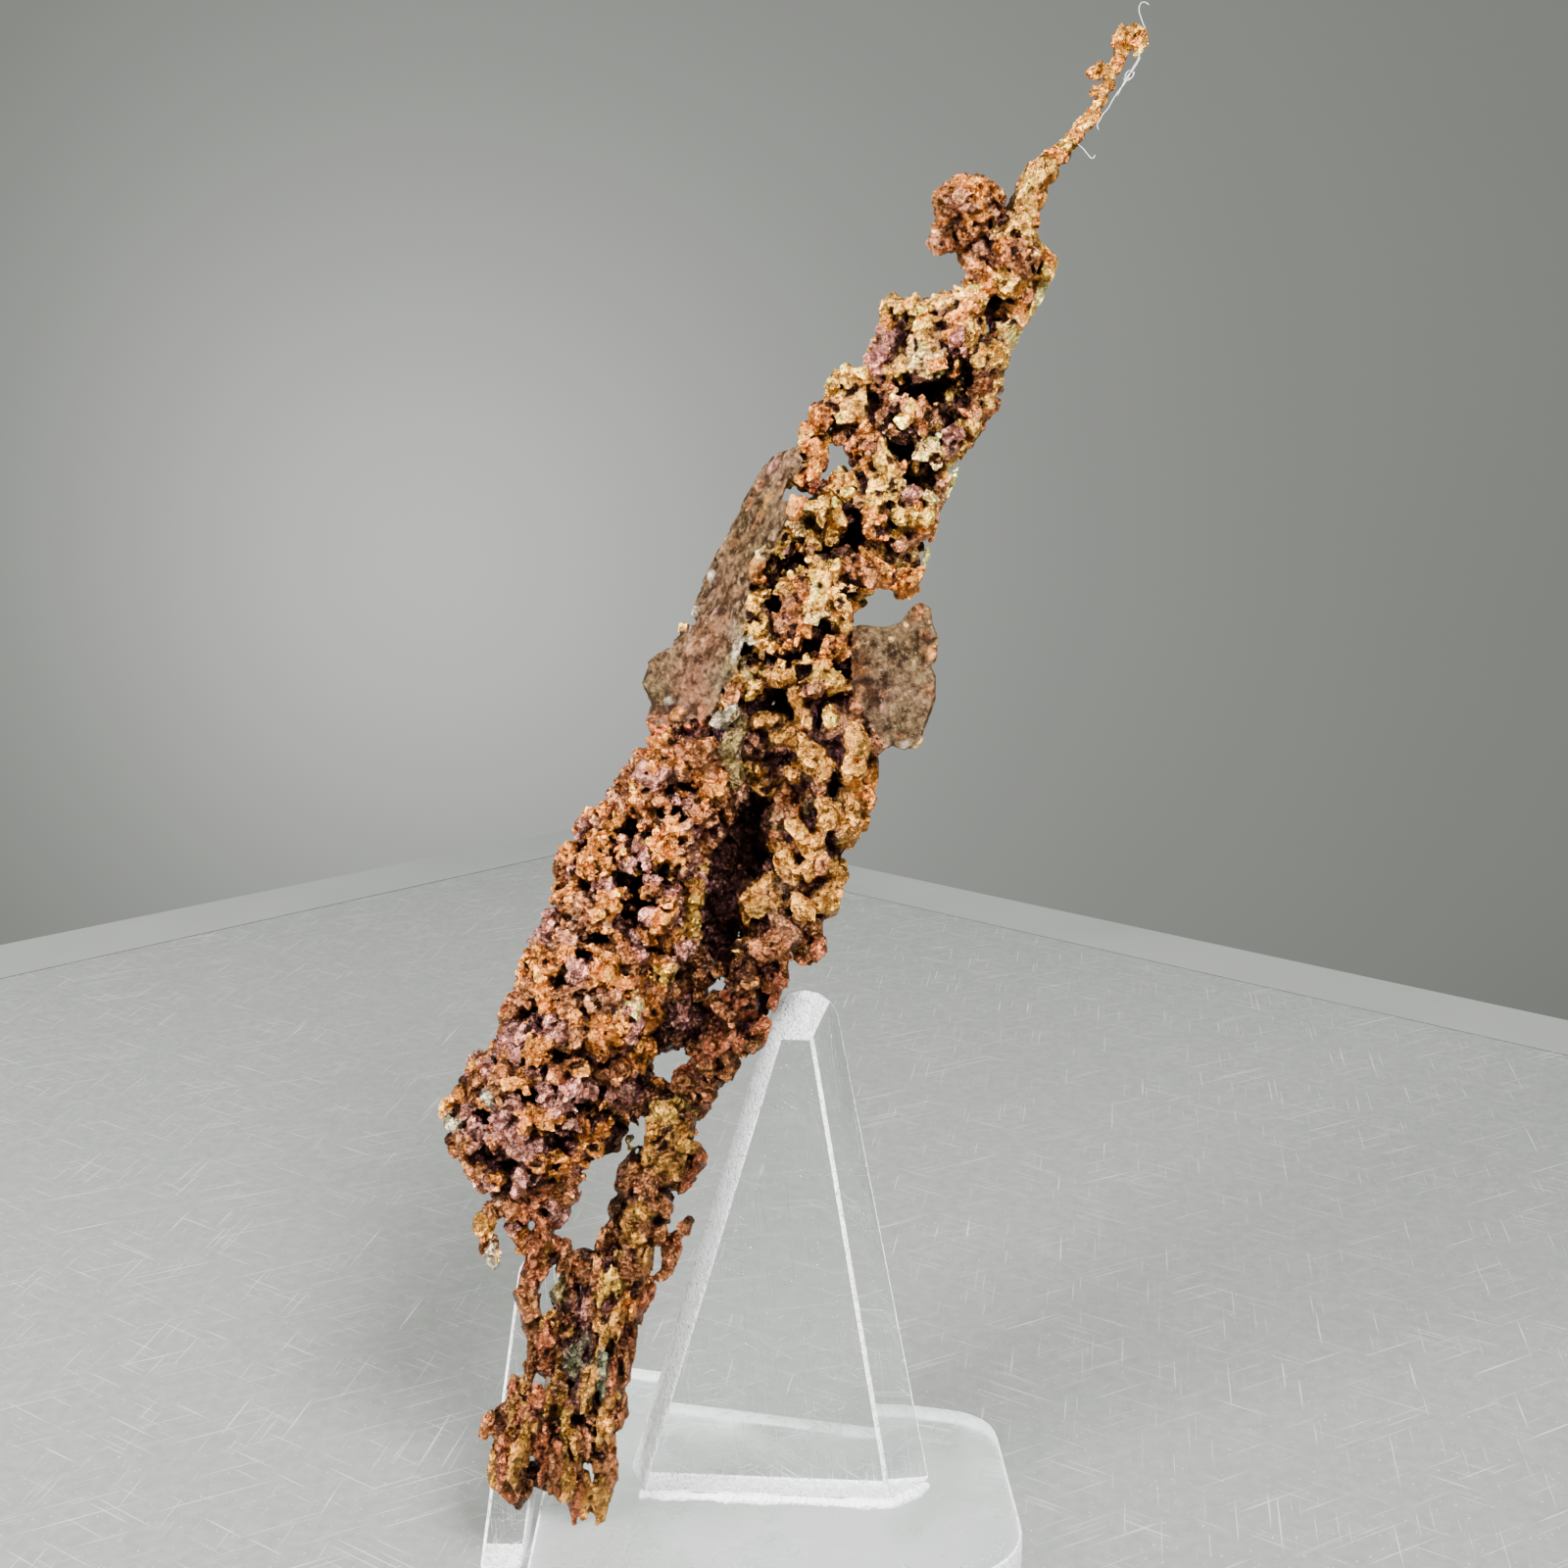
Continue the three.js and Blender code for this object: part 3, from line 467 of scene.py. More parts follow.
# Pits: across, along, half width, half height, depth.
pits = [
    (25.54, 92.82, 0.69, 0.85, 3.2), (26.16, 88.9, 1, 0.92, 4), (28.16, 88.59, 1, 1, 4.2),
    (28.93, 86.9, 1, 0.92, 4.2), (26.93, 87.67, 0.77, 0.62, 3.6), (25.23, 83.97, 0.92, 1, 3.8),
    (32.31, 94.06, 0.35, 0.92, 3), (16.92, 74.89, 1.15, 1, 3.6), (19.84, 75.66, 1.08, 0.77, 4),
    (21.38, 76.43, 0.92, 0.77, 3.6), (15.38, 71.5, 0.62, 0.77, 2.6),
    (21.69, 73.27, 0.54, 0.69, 2.8), (15.77, 64.34, 0.54, 1.08, 3.4),
    (23.31, 87.51, 0.54, 1.23, 3.2), (21.69, 77.27, 0.62, 1.54, 3.6), (20, 80.89, 0.85, 0.69, 3.4),
    (30.47, 90.13, 0.38, 0.92, 2.6), (24.85, 79.74, 0.46, 0.38, 2.4),
    (26.31, 81.74, 0.62, 0.35, 2.2), (22.31, 83.05, 0.54, 0.46, 2.4),
    (24.23, 77.66, 0.38, 0.62, 2.4), (8.68, 57.42, 0.77, 0.38, 2), (7.68, 55.57, 0.62, 0.38, 2),
    (4.37, 49.41, 0.46, 1.15, 2.4), (6.68, 50.49, 0.54, 0.85, 3), (1.52, 45.33, 0.92, 0.46, 2.4),
    (-1.32, 36.32, 0.77, 0.54, 2.4), (0.52, 32.48, 0.85, 0.54, 2.6),
    (17.15, 67.88, 0.69, 0.46, 2.6), (13.61, 67.11, 0.54, 0.38, 2.2),
    (20.23, 57.88, 0.38, 1.08, 3.4), (18.69, 62.8, 0.38, 0.92, 2.6),
    (16.15, 59.65, 1.54, 0.54, 2.8), (18.38, 54.72, 0.38, 0.69, 3), (19.84, 52.87, 0.31, 1.08, 3),
    (-0.01, 8.07, 0.38, 0.69, 2.4), (1.37, 9.38, 0.46, 0.69, 2.6), (2.37, 13.46, 0.31, 0.54, 2.2),
    (-3.63, 3.92, 0.62, 0.62, 2.2), (0.99, 2.61, 0.2, 2.62, 3.4), (14.38, 40.71, 0.31, 1.08, 3),
    (12.84, 38.63, 0.38, 0.46, 2), (4.06, 47.25, 0.62, 0.46, 2), (0.76, 49.56, 0.46, 0.77, 2),
    (-0.4, 47.25, 0.54, 0.38, 2), (2.68, 52.26, 0.46, 0.38, 2), (5.37, 53.8, 0.62, 0.38, 2.2),
    (-1.55, 42.25, 0.46, 0.62, 2), (-3.25, 39.94, 0.54, 0.46, 2), (4.99, 37.63, 0.38, 0.77, 2),
    (-5.4, 27.63, 0.62, 0.46, 2), (-1.17, 29.94, 0.54, 0.69, 2.2), (-3.86, 33.01, 0.54, 0.62, 2),
    (-6.94, 31.86, 0.54, 0.38, 2), (8.45, 29.94, 0.31, 0.92, 2), (5.76, 29.17, 0.23, 1.23, 2),
    (-0.4, 10.31, 0.38, 0.62, 2), (-2.63, 19.16, 0.46, 0.46, 2), (0.14, 17.93, 0.38, 0.62, 2.2),
]

# The crystals and lumps that show, by tint: across, along, radius, and where they are not as
# wide as long, how many times longer than wide and how many degrees the long side leans.
lumps = {
    "gold": [
        (24.85, 95.13, 1.15), (26.62, 94.44, 0.85, 1.2, 60), (32.01, 94.59, 0.62, 2.4, 8),
        (27.54, 93.05, 1.38, 1.2, 30), (33.85, 96.9, 0.69, 1.4, 20), (32.08, 88.74, 1.31, 1.5, 35),
        (25.93, 86.28, 1.08), (23.92, 83.2, 0.69, 1.2), (30.01, 85.9, 1.08, 1.2, 30),
        (21.31, 88.44, 1.15, 1.2, 40), (21.85, 80.58, 0.85, 1.1), (20, 79.74, 1.08, 1.1),
        (19.61, 78.28, 0.77), (21.31, 75.58, 1.23, 1.2, 50), (17.3, 72.58, 0.85, 1.2, 70),
        (20.61, 72.73, 0.85, 1.1), (5.37, 51.49, 0.77, 2, 5), (8.45, 52.1, 0.62, 1.5, 80),
        (7.14, 49.56, 0.85, 1.2), (8.76, 45.71, 0.69, 1.1), (2.76, 38.4, 0.69, 1.1),
        (15.38, 76.43, 0.69, 1.2, 30), (14.46, 73.04, 0.62, 1.1), (28.62, 79.2, 0.38, 3.2, 22),
        (35.24, 94.21, 0.35, 3, 30),
    ],
    "pale": [
        (28.7, 95.13, 1.15, 1.1, 80), (27.08, 90.59, 1.46, 1.1, -15), (33.08, 92.28, 1.15, 1.2, 25),
        (30.7, 90.59, 0.46, 1.9, 5), (27.47, 84.05, 1.15, 1.1), (24.39, 81.51, 1, 1.2),
        (26.7, 82.43, 0.69, 1.2, -30), (26.93, 80.74, 0.77, 1.3, 20), (17.07, 77.27, 0.69),
        (25, 75.35, 0.85, 1.2), (18.84, 70.89, 1.08, 1.3, 70), (16.15, 69.96, 0.85, 1.1),
        (15.38, 73.04, 0.69), (13.99, 70.58, 0.77, 1.3, 10), (14.61, 69.19, 0.77, 1.1),
        (16.15, 76.74, 0.85, 1.3, 30), (16.69, 78.43, 0.69, 1.8, 25), (7.37, 43.71, 0.62, 1.3, 60),
        (2.45, 39.94, 0.69, 1.3), (3.37, 39.17, 0.69, 1.2), (4.22, 40.33, 0.69, 1.2, 30),
        (6.3, 41.87, 0.62, 1.4, 50), (16.15, 77.27, 0.69, 1.3, 30), (14.61, 75.66, 0.62, 1.2, 30),
        (15, 74.2, 0.62, 1.1), (13.61, 73.66, 0.62, 1.3, 10), (14.23, 71.89, 0.54, 1.1),
        (13.22, 71.35, 0.62, 1.3, 10), (13.07, 69.96, 0.62, 1.2, 10), (15.38, 68.81, 0.69, 1.1),
        (16.38, 71.35, 0.77, 1.3, 60), (16.77, 72.12, 0.69, 1.3, 50), (29.47, 81.35, 0.38, 3.4, 22),
        (27.39, 75.5, 0.38, 2.6, 15), (34.62, 100.75, 0.38, 2.2, 25), (36.32, 96.13, 0.35, 3, 28),
        (-6.48, 20.7, 0.54, 1.1),
    ],
    "orange": [
        (30.39, 95.75, 0.77), (28.08, 91.51, 0.77), (24.23, 93.67, 0.69, 1.4),
        (34.32, 94.44, 0.92, 1.5, 25), (36.32, 98.29, 0.85, 1.8, 28), (32.01, 98.44, 0.77, 1.3, 60),
        (26.77, 85.66, 0.62), (23.62, 84.82, 0.69, 2, 15), (20.15, 87.28, 0.85),
        (18.61, 85.51, 0.77, 1.3, 20), (18.31, 83.97, 0.85, 1.1), (17.84, 82.74, 0.77),
        (22.46, 82.12, 0.92, 1.2, 20), (20.92, 78.43, 0.69), (23.31, 78.2, 1.08, 1.4, 10),
        (23.85, 76.74, 0.85), (18.61, 76.89, 0.85), (22.31, 74.43, 1, 1.3, 60),
        (24.39, 74.04, 1.15, 1.1, 60), (25.85, 73.19, 0.92), (14.84, 73.81, 0.92, 1.2, 20),
        (15.61, 75.35, 0.85, 1.2, 30), (16.92, 79.58, 0.46, 2.2, 15), (22.77, 58.8, 0.92, 1.6),
        (18.15, 56.72, 0.85, 1.4, 15), (22.62, 56.49, 0.77, 1.6, 10), (22.15, 54.72, 0.77, 1.2, 20),
        (16.77, 55.18, 1.08, 1.2, 10), (7.91, 63.03, 0.62, 1.2, 60), (8.76, 61.03, 0.69, 1.2, 60),
        (9.68, 60.42, 0.69, 1.2, 20), (15.84, 43.02, 0.69, 1.8, 5), (6.3, 33.94, 0.54, 1.3, -20),
        (3.22, 16.62, 1.08, 1.2, 20), (7.07, 51.95, 0.62, 1.8, 80), (6.3, 48.02, 0.85, 1.2, 30),
        (6.61, 46.72, 0.85), (1.76, 42.4, 0.69, 1.4, 75), (3.3, 44.18, 0.85, 1.2, 80),
        (1.37, 43.41, 0.62, 1.6), (-1.17, 38.02, 1.23, 1.3, 70), (-0.01, 36.25, 0.92, 1.2, 70),
        (-3.09, 36.32, 0.92, 1.1), (-4.02, 34.55, 0.92, 1.1), (-2.86, 31.86, 1.15, 1.1, 60),
        (-1.94, 32.24, 0.85, 1.2, 60), (2.06, 32.24, 1, 1.1, 20), (0.76, 30.7, 1.08, 1.5, 80),
        (-4.63, 29.7, 1, 1.2), (-2.09, 28.01, 1.08, 1.2), (-4.86, 22.39, 0.54, 1.3, 60),
        (-4.25, 21.31, 0.54, 1.3, 20), (-1.79, 10.46, 0.62, 2.6, 2), (1.99, 5.92, 0.85, 1.6, 5),
        (0.6, 6.23, 0.62, 1.8, 5), (13.99, 74.73, 0.69, 1.2, 20), (8.68, 61.11, 0.62, 1.2),
        (9.22, 59.96, 0.62, 1.2), (30.39, 83.66, 0.38, 3.2, 22), (27.85, 77.27, 0.38, 3, 20),
        (30.78, 104.14, 0.85), (32.31, 103.98, 0.85), (30.78, 102.29, 1), (29.08, 101.68, 0.85),
        (31.78, 101.21, 0.77, 1.2, 50),
    ],
    "rose": [
        (24.31, 92.13, 0.69, 1.6, 80), (35.39, 99.37, 0.77, 1.2), (30.01, 92.13, 0.85, 1.2),
        (28, 87.36, 0.69, 1.2, 60), (28.85, 84.74, 0.69), (23.54, 90.59, 0.77, 1.2, 70),
        (25.77, 80.35, 0.85, 1.2, 30), (24.77, 79.2, 0.69), (17.07, 71.12, 1.08, 1.1, 60),
        (18.31, 69.19, 0.92, 1.2, 80), (14.3, 72.12, 0.85, 1.2, 20), (13.53, 68.81, 0.69, 1.3, 10),
        (5.37, 46.87, 0.85, 1.1), (5.99, 45.33, 0.92, 1.3, 70), (7.68, 44.56, 0.85, 1.3, 60),
        (5.37, 41.1, 0.69, 1.3, 50), (-2.32, 39.17, 0.92, 1.2, 60), (-0.01, 29.17, 1.08, 1.1),
        (-0.78, 33.78, 0.92, 1.2, 40), (3.06, 33.78, 0.92, 1.4, 25), (3.83, 35.71, 0.92, 1.6, 25),
        (1.68, 34.55, 0.92), (-1.17, 26.47, 1.08, 1.2, 20), (-1.94, 23.78, 0.92, 1.4, 20),
        (-2.94, 22.62, 0.69), (0.6, 16.85, 0.85, 1.5, 10), (-0.78, 13.39, 0.62, 1.6),
        (-0.01, 9.54, 0.69, 1.8), (16.15, 75.2, 0.54, 1.2), (13.46, 72.58, 0.62, 1.2),
        (13.99, 70.58, 0.62, 1.1), (15, 69.96, 0.69, 1.1), (13.84, 69.19, 0.62, 1.1),
        (17.3, 70.58, 0.69, 1.3, 60), (12.92, 62.42, 0.54, 1.3), (37.09, 99.06, 0.38, 1.5, 30),
    ],
    "brown": [
        (35.24, 96.44, 0.92, 1.8, 25), (33.55, 98.44, 0.69, 1.2, 20), (30.78, 97.29, 0.69),
        (32.47, 87.05, 0.85, 1.4, 40), (22.31, 89.59, 0.92, 1.3, 60), (19.08, 87.05, 0.77, 1.5, 20),
        (21.23, 84.2, 0.69), (20, 69.58, 0.92, 1.3, 80), (20.61, 68.42, 0.85, 1.6, 85),
        (18.61, 66.73, 0.92, 1.6, 80), (17.07, 66.11, 0.69), (22.31, 64.73, 0.77),
        (16.15, 56.72, 0.69, 1.3), (19.08, 51.18, 0.92, 1.2), (17.84, 49.56, 1, 1.2),
        (18.46, 46.25, 0.92, 1.3), (17.07, 45.48, 0.69), (15.23, 46.1, 0.92, 1.2, 60),
        (14.23, 45.18, 0.85), (12.15, 64.88, 0.62, 1.6, 12), (11.53, 59.57, 0.62, 1.5, 5),
        (6.45, 61.8, 0.62, 1.2), (7.07, 60.42, 0.69, 1.2, 10), (13.61, 41.48, 0.92, 1.8),
        (10.99, 40.48, 1, 1.2, 30), (12.15, 38.79, 1.31, 1.1), (13.53, 37.32, 0.92),
        (11.69, 36.48, 1, 1.2), (9.76, 36.09, 1.15, 1.1, 20), (8.99, 34.09, 1.15, 1.1, 20),
        (10.15, 33.63, 0.77, 1.1), (7.68, 33.63, 0.77, 1.2, 30), (2.6, 22.39, 0.92, 1.3, 10),
        (5.76, 23.01, 0.85, 1.8), (4.22, 18.77, 0.85, 1.8, 5), (2.91, 8.77, 0.69, 2.2, 5),
        (0.6, 37.48, 1.23, 1.3, 70), (2.29, 36.71, 1.15, 1.3, 70), (-5.63, 24.39, 0.85),
        (-0.78, 25.7, 0.85, 1.5, 20), (-0.55, 19.93, 1.08, 1.1), (0.76, 19.16, 0.92, 1.4),
        (-4.09, 16.85, 1, 1.3, -5), (-3.63, 14.92, 0.77, 1.4, -20), (-3.48, 12.62, 0.62, 1.2),
        (-2.17, 12.62, 0.69, 1.2), (-2.32, 8.38, 0.69, 2.4, 2), (0.83, 8.38, 0.62, 2),
        (-2.32, 4.53, 0.69, 1.8, -8), (-4.02, 7.61, 0.69, 1.6, 20), (-5.17, 10.54, 0.62, 1.2),
        (-5.4, 8.38, 0.77, 1.2), (-5.17, 5.53, 0.92, 1.3, 20), (-4.86, 2.84, 0.85, 1.3),
        (-2.32, 2.84, 0.69, 1.3, 20), (-0.94, 2.61, 0.62, 1.6, -20), (8.07, 62.5, 0.54, 1.3, 80),
        (7.68, 61.34, 0.62, 1.2), (7.07, 60.11, 0.62, 1.2), (-6.94, 24.08, 0.69, 1.1),
        (-7.17, 21.93, 0.62, 1.1), (8.3, 22.85, 0.62, 1.2, 30), (7.22, 21.08, 0.62, 1.4, 30),
        (6.3, 19, 0.38, 1.4, 30), (29.24, 103.45, 0.92, 1.1), (32.62, 102.68, 0.77),
        (30.39, 100.75, 0.77), (28.62, 100.14, 0.85, 1.1, 60), (31.54, 103.06, 0.69),
    ],
    "dark": [
        (26.93, 88.67, 0.46), (21.69, 85.36, 0.77, 1.2), (15.53, 57.26, 0.46, 1.5),
        (13.84, 46.72, 0.92, 1.3, 70), (10.15, 38.25, 1, 1.2, 30), (4.22, 27.63, 0.92, 1.2),
        (3.68, 25.93, 0.92, 1.3, 10), (3.06, 24.39, 0.77, 1.3, 20), (-0.78, 15.69, 1.08, 1.2),
        (-4.79, 1.61, 0.69, 1.2), (-3.48, 3.38, 0.77, 1.3), (8.61, 23.32, 0.38, 1.2, 30),
    ],
    "red": [
        (19.08, 82.89, 0.69), (18.15, 81.51, 0.77, 1.1), (17.92, 78.2, 0.77),
        (19.08, 44.95, 0.62, 1.2), (17.69, 43.87, 0.69, 1.2, 40), (5.99, 63.03, 0.62, 1.2, 20),
        (6.91, 62.65, 0.69, 1.2, 40), (8.84, 62.42, 0.69, 1.3, 30), (9.68, 63.03, 0.62, 1.2),
        (7.68, 61.49, 0.69, 1.3, 30), (9.99, 61.65, 0.62, 1.3), (8.3, 60.11, 0.69, 1.2),
        (15.38, 40.87, 0.62, 1.8, 20), (14.46, 38.4, 0.69, 1.5, 25), (10.92, 34.94, 0.85, 1.1),
        (9.07, 27.93, 1, 1.2, 40), (8.3, 26.86, 0.77, 1.2, 40), (4.6, 16.85, 0.69, 2.4, 8),
        (4.06, 14.39, 0.62, 3, 8), (3.53, 11.46, 0.62, 3.2, 6), (-3.48, 27.63, 0.85),
        (-2.71, 25.7, 1.08, 1.1), (-3.86, 24.39, 1, 1.1), (-3.48, 21.47, 0.85, 1.2, 20),
        (-2.32, 21.62, 0.69, 1.5, 80), (-3.63, 19.16, 0.85, 1.5), (-2.63, 13.77, 0.77, 1.3),
        (-3.25, 6.07, 0.69, 1.8, 5), (-4.63, 9.54, 0.77, 1.2, 20), (6.14, 62.42, 0.62, 1.3, 60),
        (7.07, 62.65, 0.54, 1.2, 60), (8.99, 62.26, 0.62, 1.2, 80), (9.84, 62.65, 0.54, 1.2, 20),
        (6.61, 61.49, 0.69, 1.2, 20), (9.68, 61.34, 0.62, 1.2), (5.6, 61.88, 0.54, 1.2),
        (5.99, 60.73, 0.62, 1.2), (8.14, 60.11, 0.62, 1.2), (10.15, 60.11, 0.62, 1.2),
        (7.68, 22.08, 0.54, 1.2, 30), (6.84, 19.93, 0.46, 1.5, 30), (29.62, 102.68, 0.69),
    ],
    "yellow": [
        (22.69, 76.12, 0.92, 1.2, 30), (18.69, 73.27, 1.31, 1.3, 60), (19.84, 73.96, 1.08, 1.2, 40),
        (14.84, 65.34, 0.92), (13.53, 66.27, 0.69), (16.15, 63.19, 0.85), (13.69, 63.03, 0.92),
        (13.07, 59.57, 0.77), (8.45, 32.24, 1.08, 1.1, 30), (7.07, 31.32, 1.15, 1.1),
        (3.68, 19.93, 0.85, 1.3), (2.6, 18.23, 0.92, 1.1, 30), (9.45, 50.87, 0.69, 1.6, 15),
        (9.38, 49.18, 0.69, 1.6), (7.68, 48.26, 0.92, 1.2), (8.07, 46.48, 1, 1.1),
        (3.22, 42.02, 0.77, 1.4, 82), (4.76, 42.33, 0.85, 1.4, 80), (6.3, 43.02, 0.77, 1.5, 70),
        (-1.02, 8.23, 0.54, 3.6, 4), (-0.17, 4.53, 0.69, 1.5, 10),
    ],
    "ochre": [
        (14.61, 67.88, 1.15, 1.3, 70), (15.92, 67.5, 1, 1.2, 60), (17.07, 66.58, 1, 1.5, 80),
        (13.84, 64.8, 1.23, 1.2), (17.3, 64.73, 1.08, 1.3, 20), (19.38, 64.42, 0.92, 1.4, 85),
        (21.23, 64.11, 0.92, 1.5, 85), (14.84, 62.26, 1.31, 1.1), (16.61, 61.65, 1.15),
        (17.84, 62.57, 1, 1.3, 20), (17.54, 60.57, 0.85), (22.08, 60.73, 1.31, 1.3, -40),
        (21.38, 58.95, 1.23, 1.2, -20), (21.38, 56.72, 1.15, 1.3, 20), (20.77, 54.34, 1.38),
        (18.38, 52.72, 0.92, 1.9, -35), (17.07, 51.18, 1.38, 1.1), (20.23, 50.49, 1.08, 1.3, 15),
        (19.38, 48.56, 1.08, 1.2, 10), (16.15, 47.79, 0.92, 1.5, 60), (12.84, 60.73, 0.62, 1.4),
        (13.46, 43.41, 0.92, 1.8), (5.99, 30.7, 0.77, 1.1), (7.14, 29.01, 1.38, 1.2),
        (5.99, 28.01, 1, 1.2), (7.22, 26.86, 1, 1.2), (5.53, 24.7, 1.08, 1.2),
        (4.45, 23.78, 0.85, 1.8), (3.83, 22.08, 0.85, 1.4), (4.99, 21.08, 0.92, 1.8, 5),
        (2.29, 15, 0.92, 1.2), (2.14, 9.15, 0.69, 1.6), (-1.32, 5.46, 0.62, 2.2),
        (-6.1, 3.76, 0.92, 1.1), (0.37, 1.84, 0.69, 2.8, 5), (1.91, 2.61, 0.77, 2.8, 4),
        (-7.4, 23.01, 0.69, 1.1),
    ],
    "dusk": [(20.54, 62.03, 1.23), (19.23, 59.42, 0.92), (19.23, 57.65, 0.62, 1.3)],
    "olive": [
        (19.08, 56.11, 1.15, 1.2), (15.61, 55.34, 0.31, 5, 2), (15.61, 49.56, 1.08, 1.2),
        (11.92, 60.73, 0.92, 1.6, 10), (11.15, 62.26, 0.85, 1.4, 10), (11.69, 64.11, 0.77, 1.5, 15),
        (12.46, 65.81, 0.69, 1.5, 10), (12.92, 69.5, 0.62, 1.8, 12), (12.15, 66.88, 0.69, 1.8, 12),
        (11.38, 64.27, 0.69, 1.5, 10), (12.69, 66.73, 0.54, 1.7, 12), (12.15, 61.49, 0.62, 1.7, 8),
        (12.22, 58.42, 0.62, 1.8, 5), (11.38, 61.34, 0.62, 1.5, 8), (5.14, 27.63, 0.46, 3.2, 3),
        (4.22, 29.55, 0.62, 1.1), (-1.02, 17.77, 0.92, 1.1), (11.38, 64.96, 0.54, 1.5, 15),
        (10.76, 62.11, 0.54, 1.4, 10), (12.15, 61.65, 0.54, 1.4, 10), (10.92, 60.57, 0.46, 1.4, 5),
    ],
    "chalk": [
        (13.3, 70.89, 0.62, 1.6, 12), (12.46, 68.27, 0.62, 1.6, 12), (11.69, 65.5, 0.62, 1.6, 10),
        (11.61, 62.65, 0.69, 1.6, 8), (11.99, 59.96, 0.69, 1.6, 8), (-6.33, 33.94, 0.85, 1.4, 20),
        (-5.56, 33.01, 0.54), (-7.71, 30.32, 0.62, 1.5, 20), (-9.87, 31.09, 0.62, 1.4),
        (13.07, 68.81, 0.46, 1.4, 10), (12.69, 67.81, 0.54, 1.6, 10), (12.3, 66.88, 0.54, 1.5, 15),
        (11.92, 65.73, 0.54, 1.5, 15), (12.15, 64.19, 0.54, 1.5, 15), (11.15, 63.65, 0.54, 1.5, 15),
        (11.69, 62.65, 0.54, 1.6, 10), (11.38, 61.11, 0.54, 1.6, 10), (12.46, 60.34, 0.54, 1.5, 10),
        (11.53, 59.8, 0.54, 1.6, 5), (-7.1, 21.08, 0.54, 1.1), (-6.71, 20.08, 0.46, 1.1),
    ],
    "verdigris": [
        (0.22, 12.62, 1.23, 1.2, 10), (1.52, 11.31, 1, 1.3, -10), (0.76, 13.92, 0.85, 1.3, 20),
    ],
}

# Low grains on the sheet and the fin, set more than half way in.
low_lumps = {
    "pale": [
        (20.46, 69.04, 0.38, 2.6, 74), (21.85, 68.73, 0.35, 3, 70), (23.31, 69.04, 0.35, 2.4, 60),
        (24.23, 68.81, 0.31, 2.2, 55), (24.77, 69.73, 0.31, 3.2, 66), (25.77, 70.19, 0.31, 2.6, 60),
        (27.31, 62.11, 0.38, 2.6, 25), (26.62, 60.96, 0.38, 2, 60), (27.93, 68.81, 0.38, 1.6, 10),
    ],
    "rose": [
        (19.61, 68.42, 0.38, 2, 80), (20.61, 66.42, 0.54, 1.2), (21.38, 65.57, 0.46, 1.5, 80),
        (23.85, 63.5, 0.46), (15.38, 82.43, 0.54, 1.6, 40), (10.92, 71.12, 0.38, 1.6, 30),
        (10.15, 68.81, 0.38, 1.4, 30), (8.45, 63.8, 0.46, 1.2, 60),
    ],
    "gold": [(21.23, 68.11, 0.38, 2, 72), (27.54, 63.65, 0.38, 2.2, 20)],
    "orange": [(21.69, 67.19, 0.46, 1.3), (22.31, 66.42, 0.46, 1.2), (27.85, 67.81, 0.46, 1.8, 15)],
    "brown": [
        (20, 66.11, 0.46, 1.3), (26.77, 71.12, 0.62, 1.2), (27.31, 69.58, 0.46, 1.2),
        (23.85, 66.11, 0.46, 1.2), (25, 61.34, 0.46, 1.4, 80), (14.46, 80.97, 0.54, 1.8, 35),
        (13.69, 79.81, 0.46, 1.6, 35), (14.23, 78.43, 0.46, 2.2, 30), (12.46, 76.74, 0.46, 1.8, 30),
        (16.15, 81.35, 0.46, 2, 30), (12.46, 73.81, 0.38, 1.8, 25), (11.69, 70.73, 0.38, 1.8, 20),
        (9.84, 71.5, 0.46, 1.2, 30), (11.38, 76.12, 0.46, 1.3, 20),
    ],
    "dusk": [
        (23.85, 64.88, 0.54, 1.2), (24.46, 64.11, 0.38), (11.92, 74.97, 0.38, 1.6, 25),
        (11.38, 73.04, 0.38, 1.6, 25), (8.84, 68.04, 0.46, 1.4, 60),
    ],
    "chalk": [
        (25.54, 60.73, 0.38, 1.8, 80), (7.3, 64.19, 0.46, 1.2), (10.53, 73.96, 0.46, 1.2),
        (9.3, 71.04, 0.46, 1.2), (11.53, 76.89, 0.38, 1.3, 20),
    ],
    "olive": [
        (24.23, 67.5, 0.46, 1.4, 60), (25.39, 67.81, 0.46, 1.5, 80), (26.54, 67.27, 0.46, 1.4, 60),
        (26.93, 66.11, 0.46, 1.3), (25, 66.11, 0.46, 1.4, 70), (26, 64.96, 0.38, 1.4),
        (25.77, 63.42, 0.54, 1.3), (24.77, 62.42, 0.54, 1.3), (26.16, 62.11, 0.46, 1.3, 30),
        (13.07, 78.04, 0.46, 1.6, 30), (6.91, 66.88, 0.54, 1.2, 60), (6.53, 65.34, 0.46, 1.2),
        (6.3, 63.96, 0.46, 1.2),
    ],
    "ochre": [(15, 79.97, 0.46, 1.8, 30)],
}

tints = {
    "gold": (0.70, 0.42, 0.10),
    "pale": (0.89, 0.62, 0.26),
    "yellow": (0.68, 0.42, 0.09),
    "ochre": (0.49, 0.255, 0.058),
    "orange": (0.58, 0.24, 0.055),
    "brown": (0.28, 0.12, 0.05),
    "red": (0.32, 0.11, 0.05),
    "rose": (0.38, 0.185, 0.165),
    "dusk": (0.40, 0.2, 0.11),
    "dark": (0.08, 0.035, 0.02),
    "olive": (0.20, 0.16, 0.07),
    "chalk": (0.50, 0.48, 0.41),
    "verdigris": (0.14, 0.15, 0.10),
}

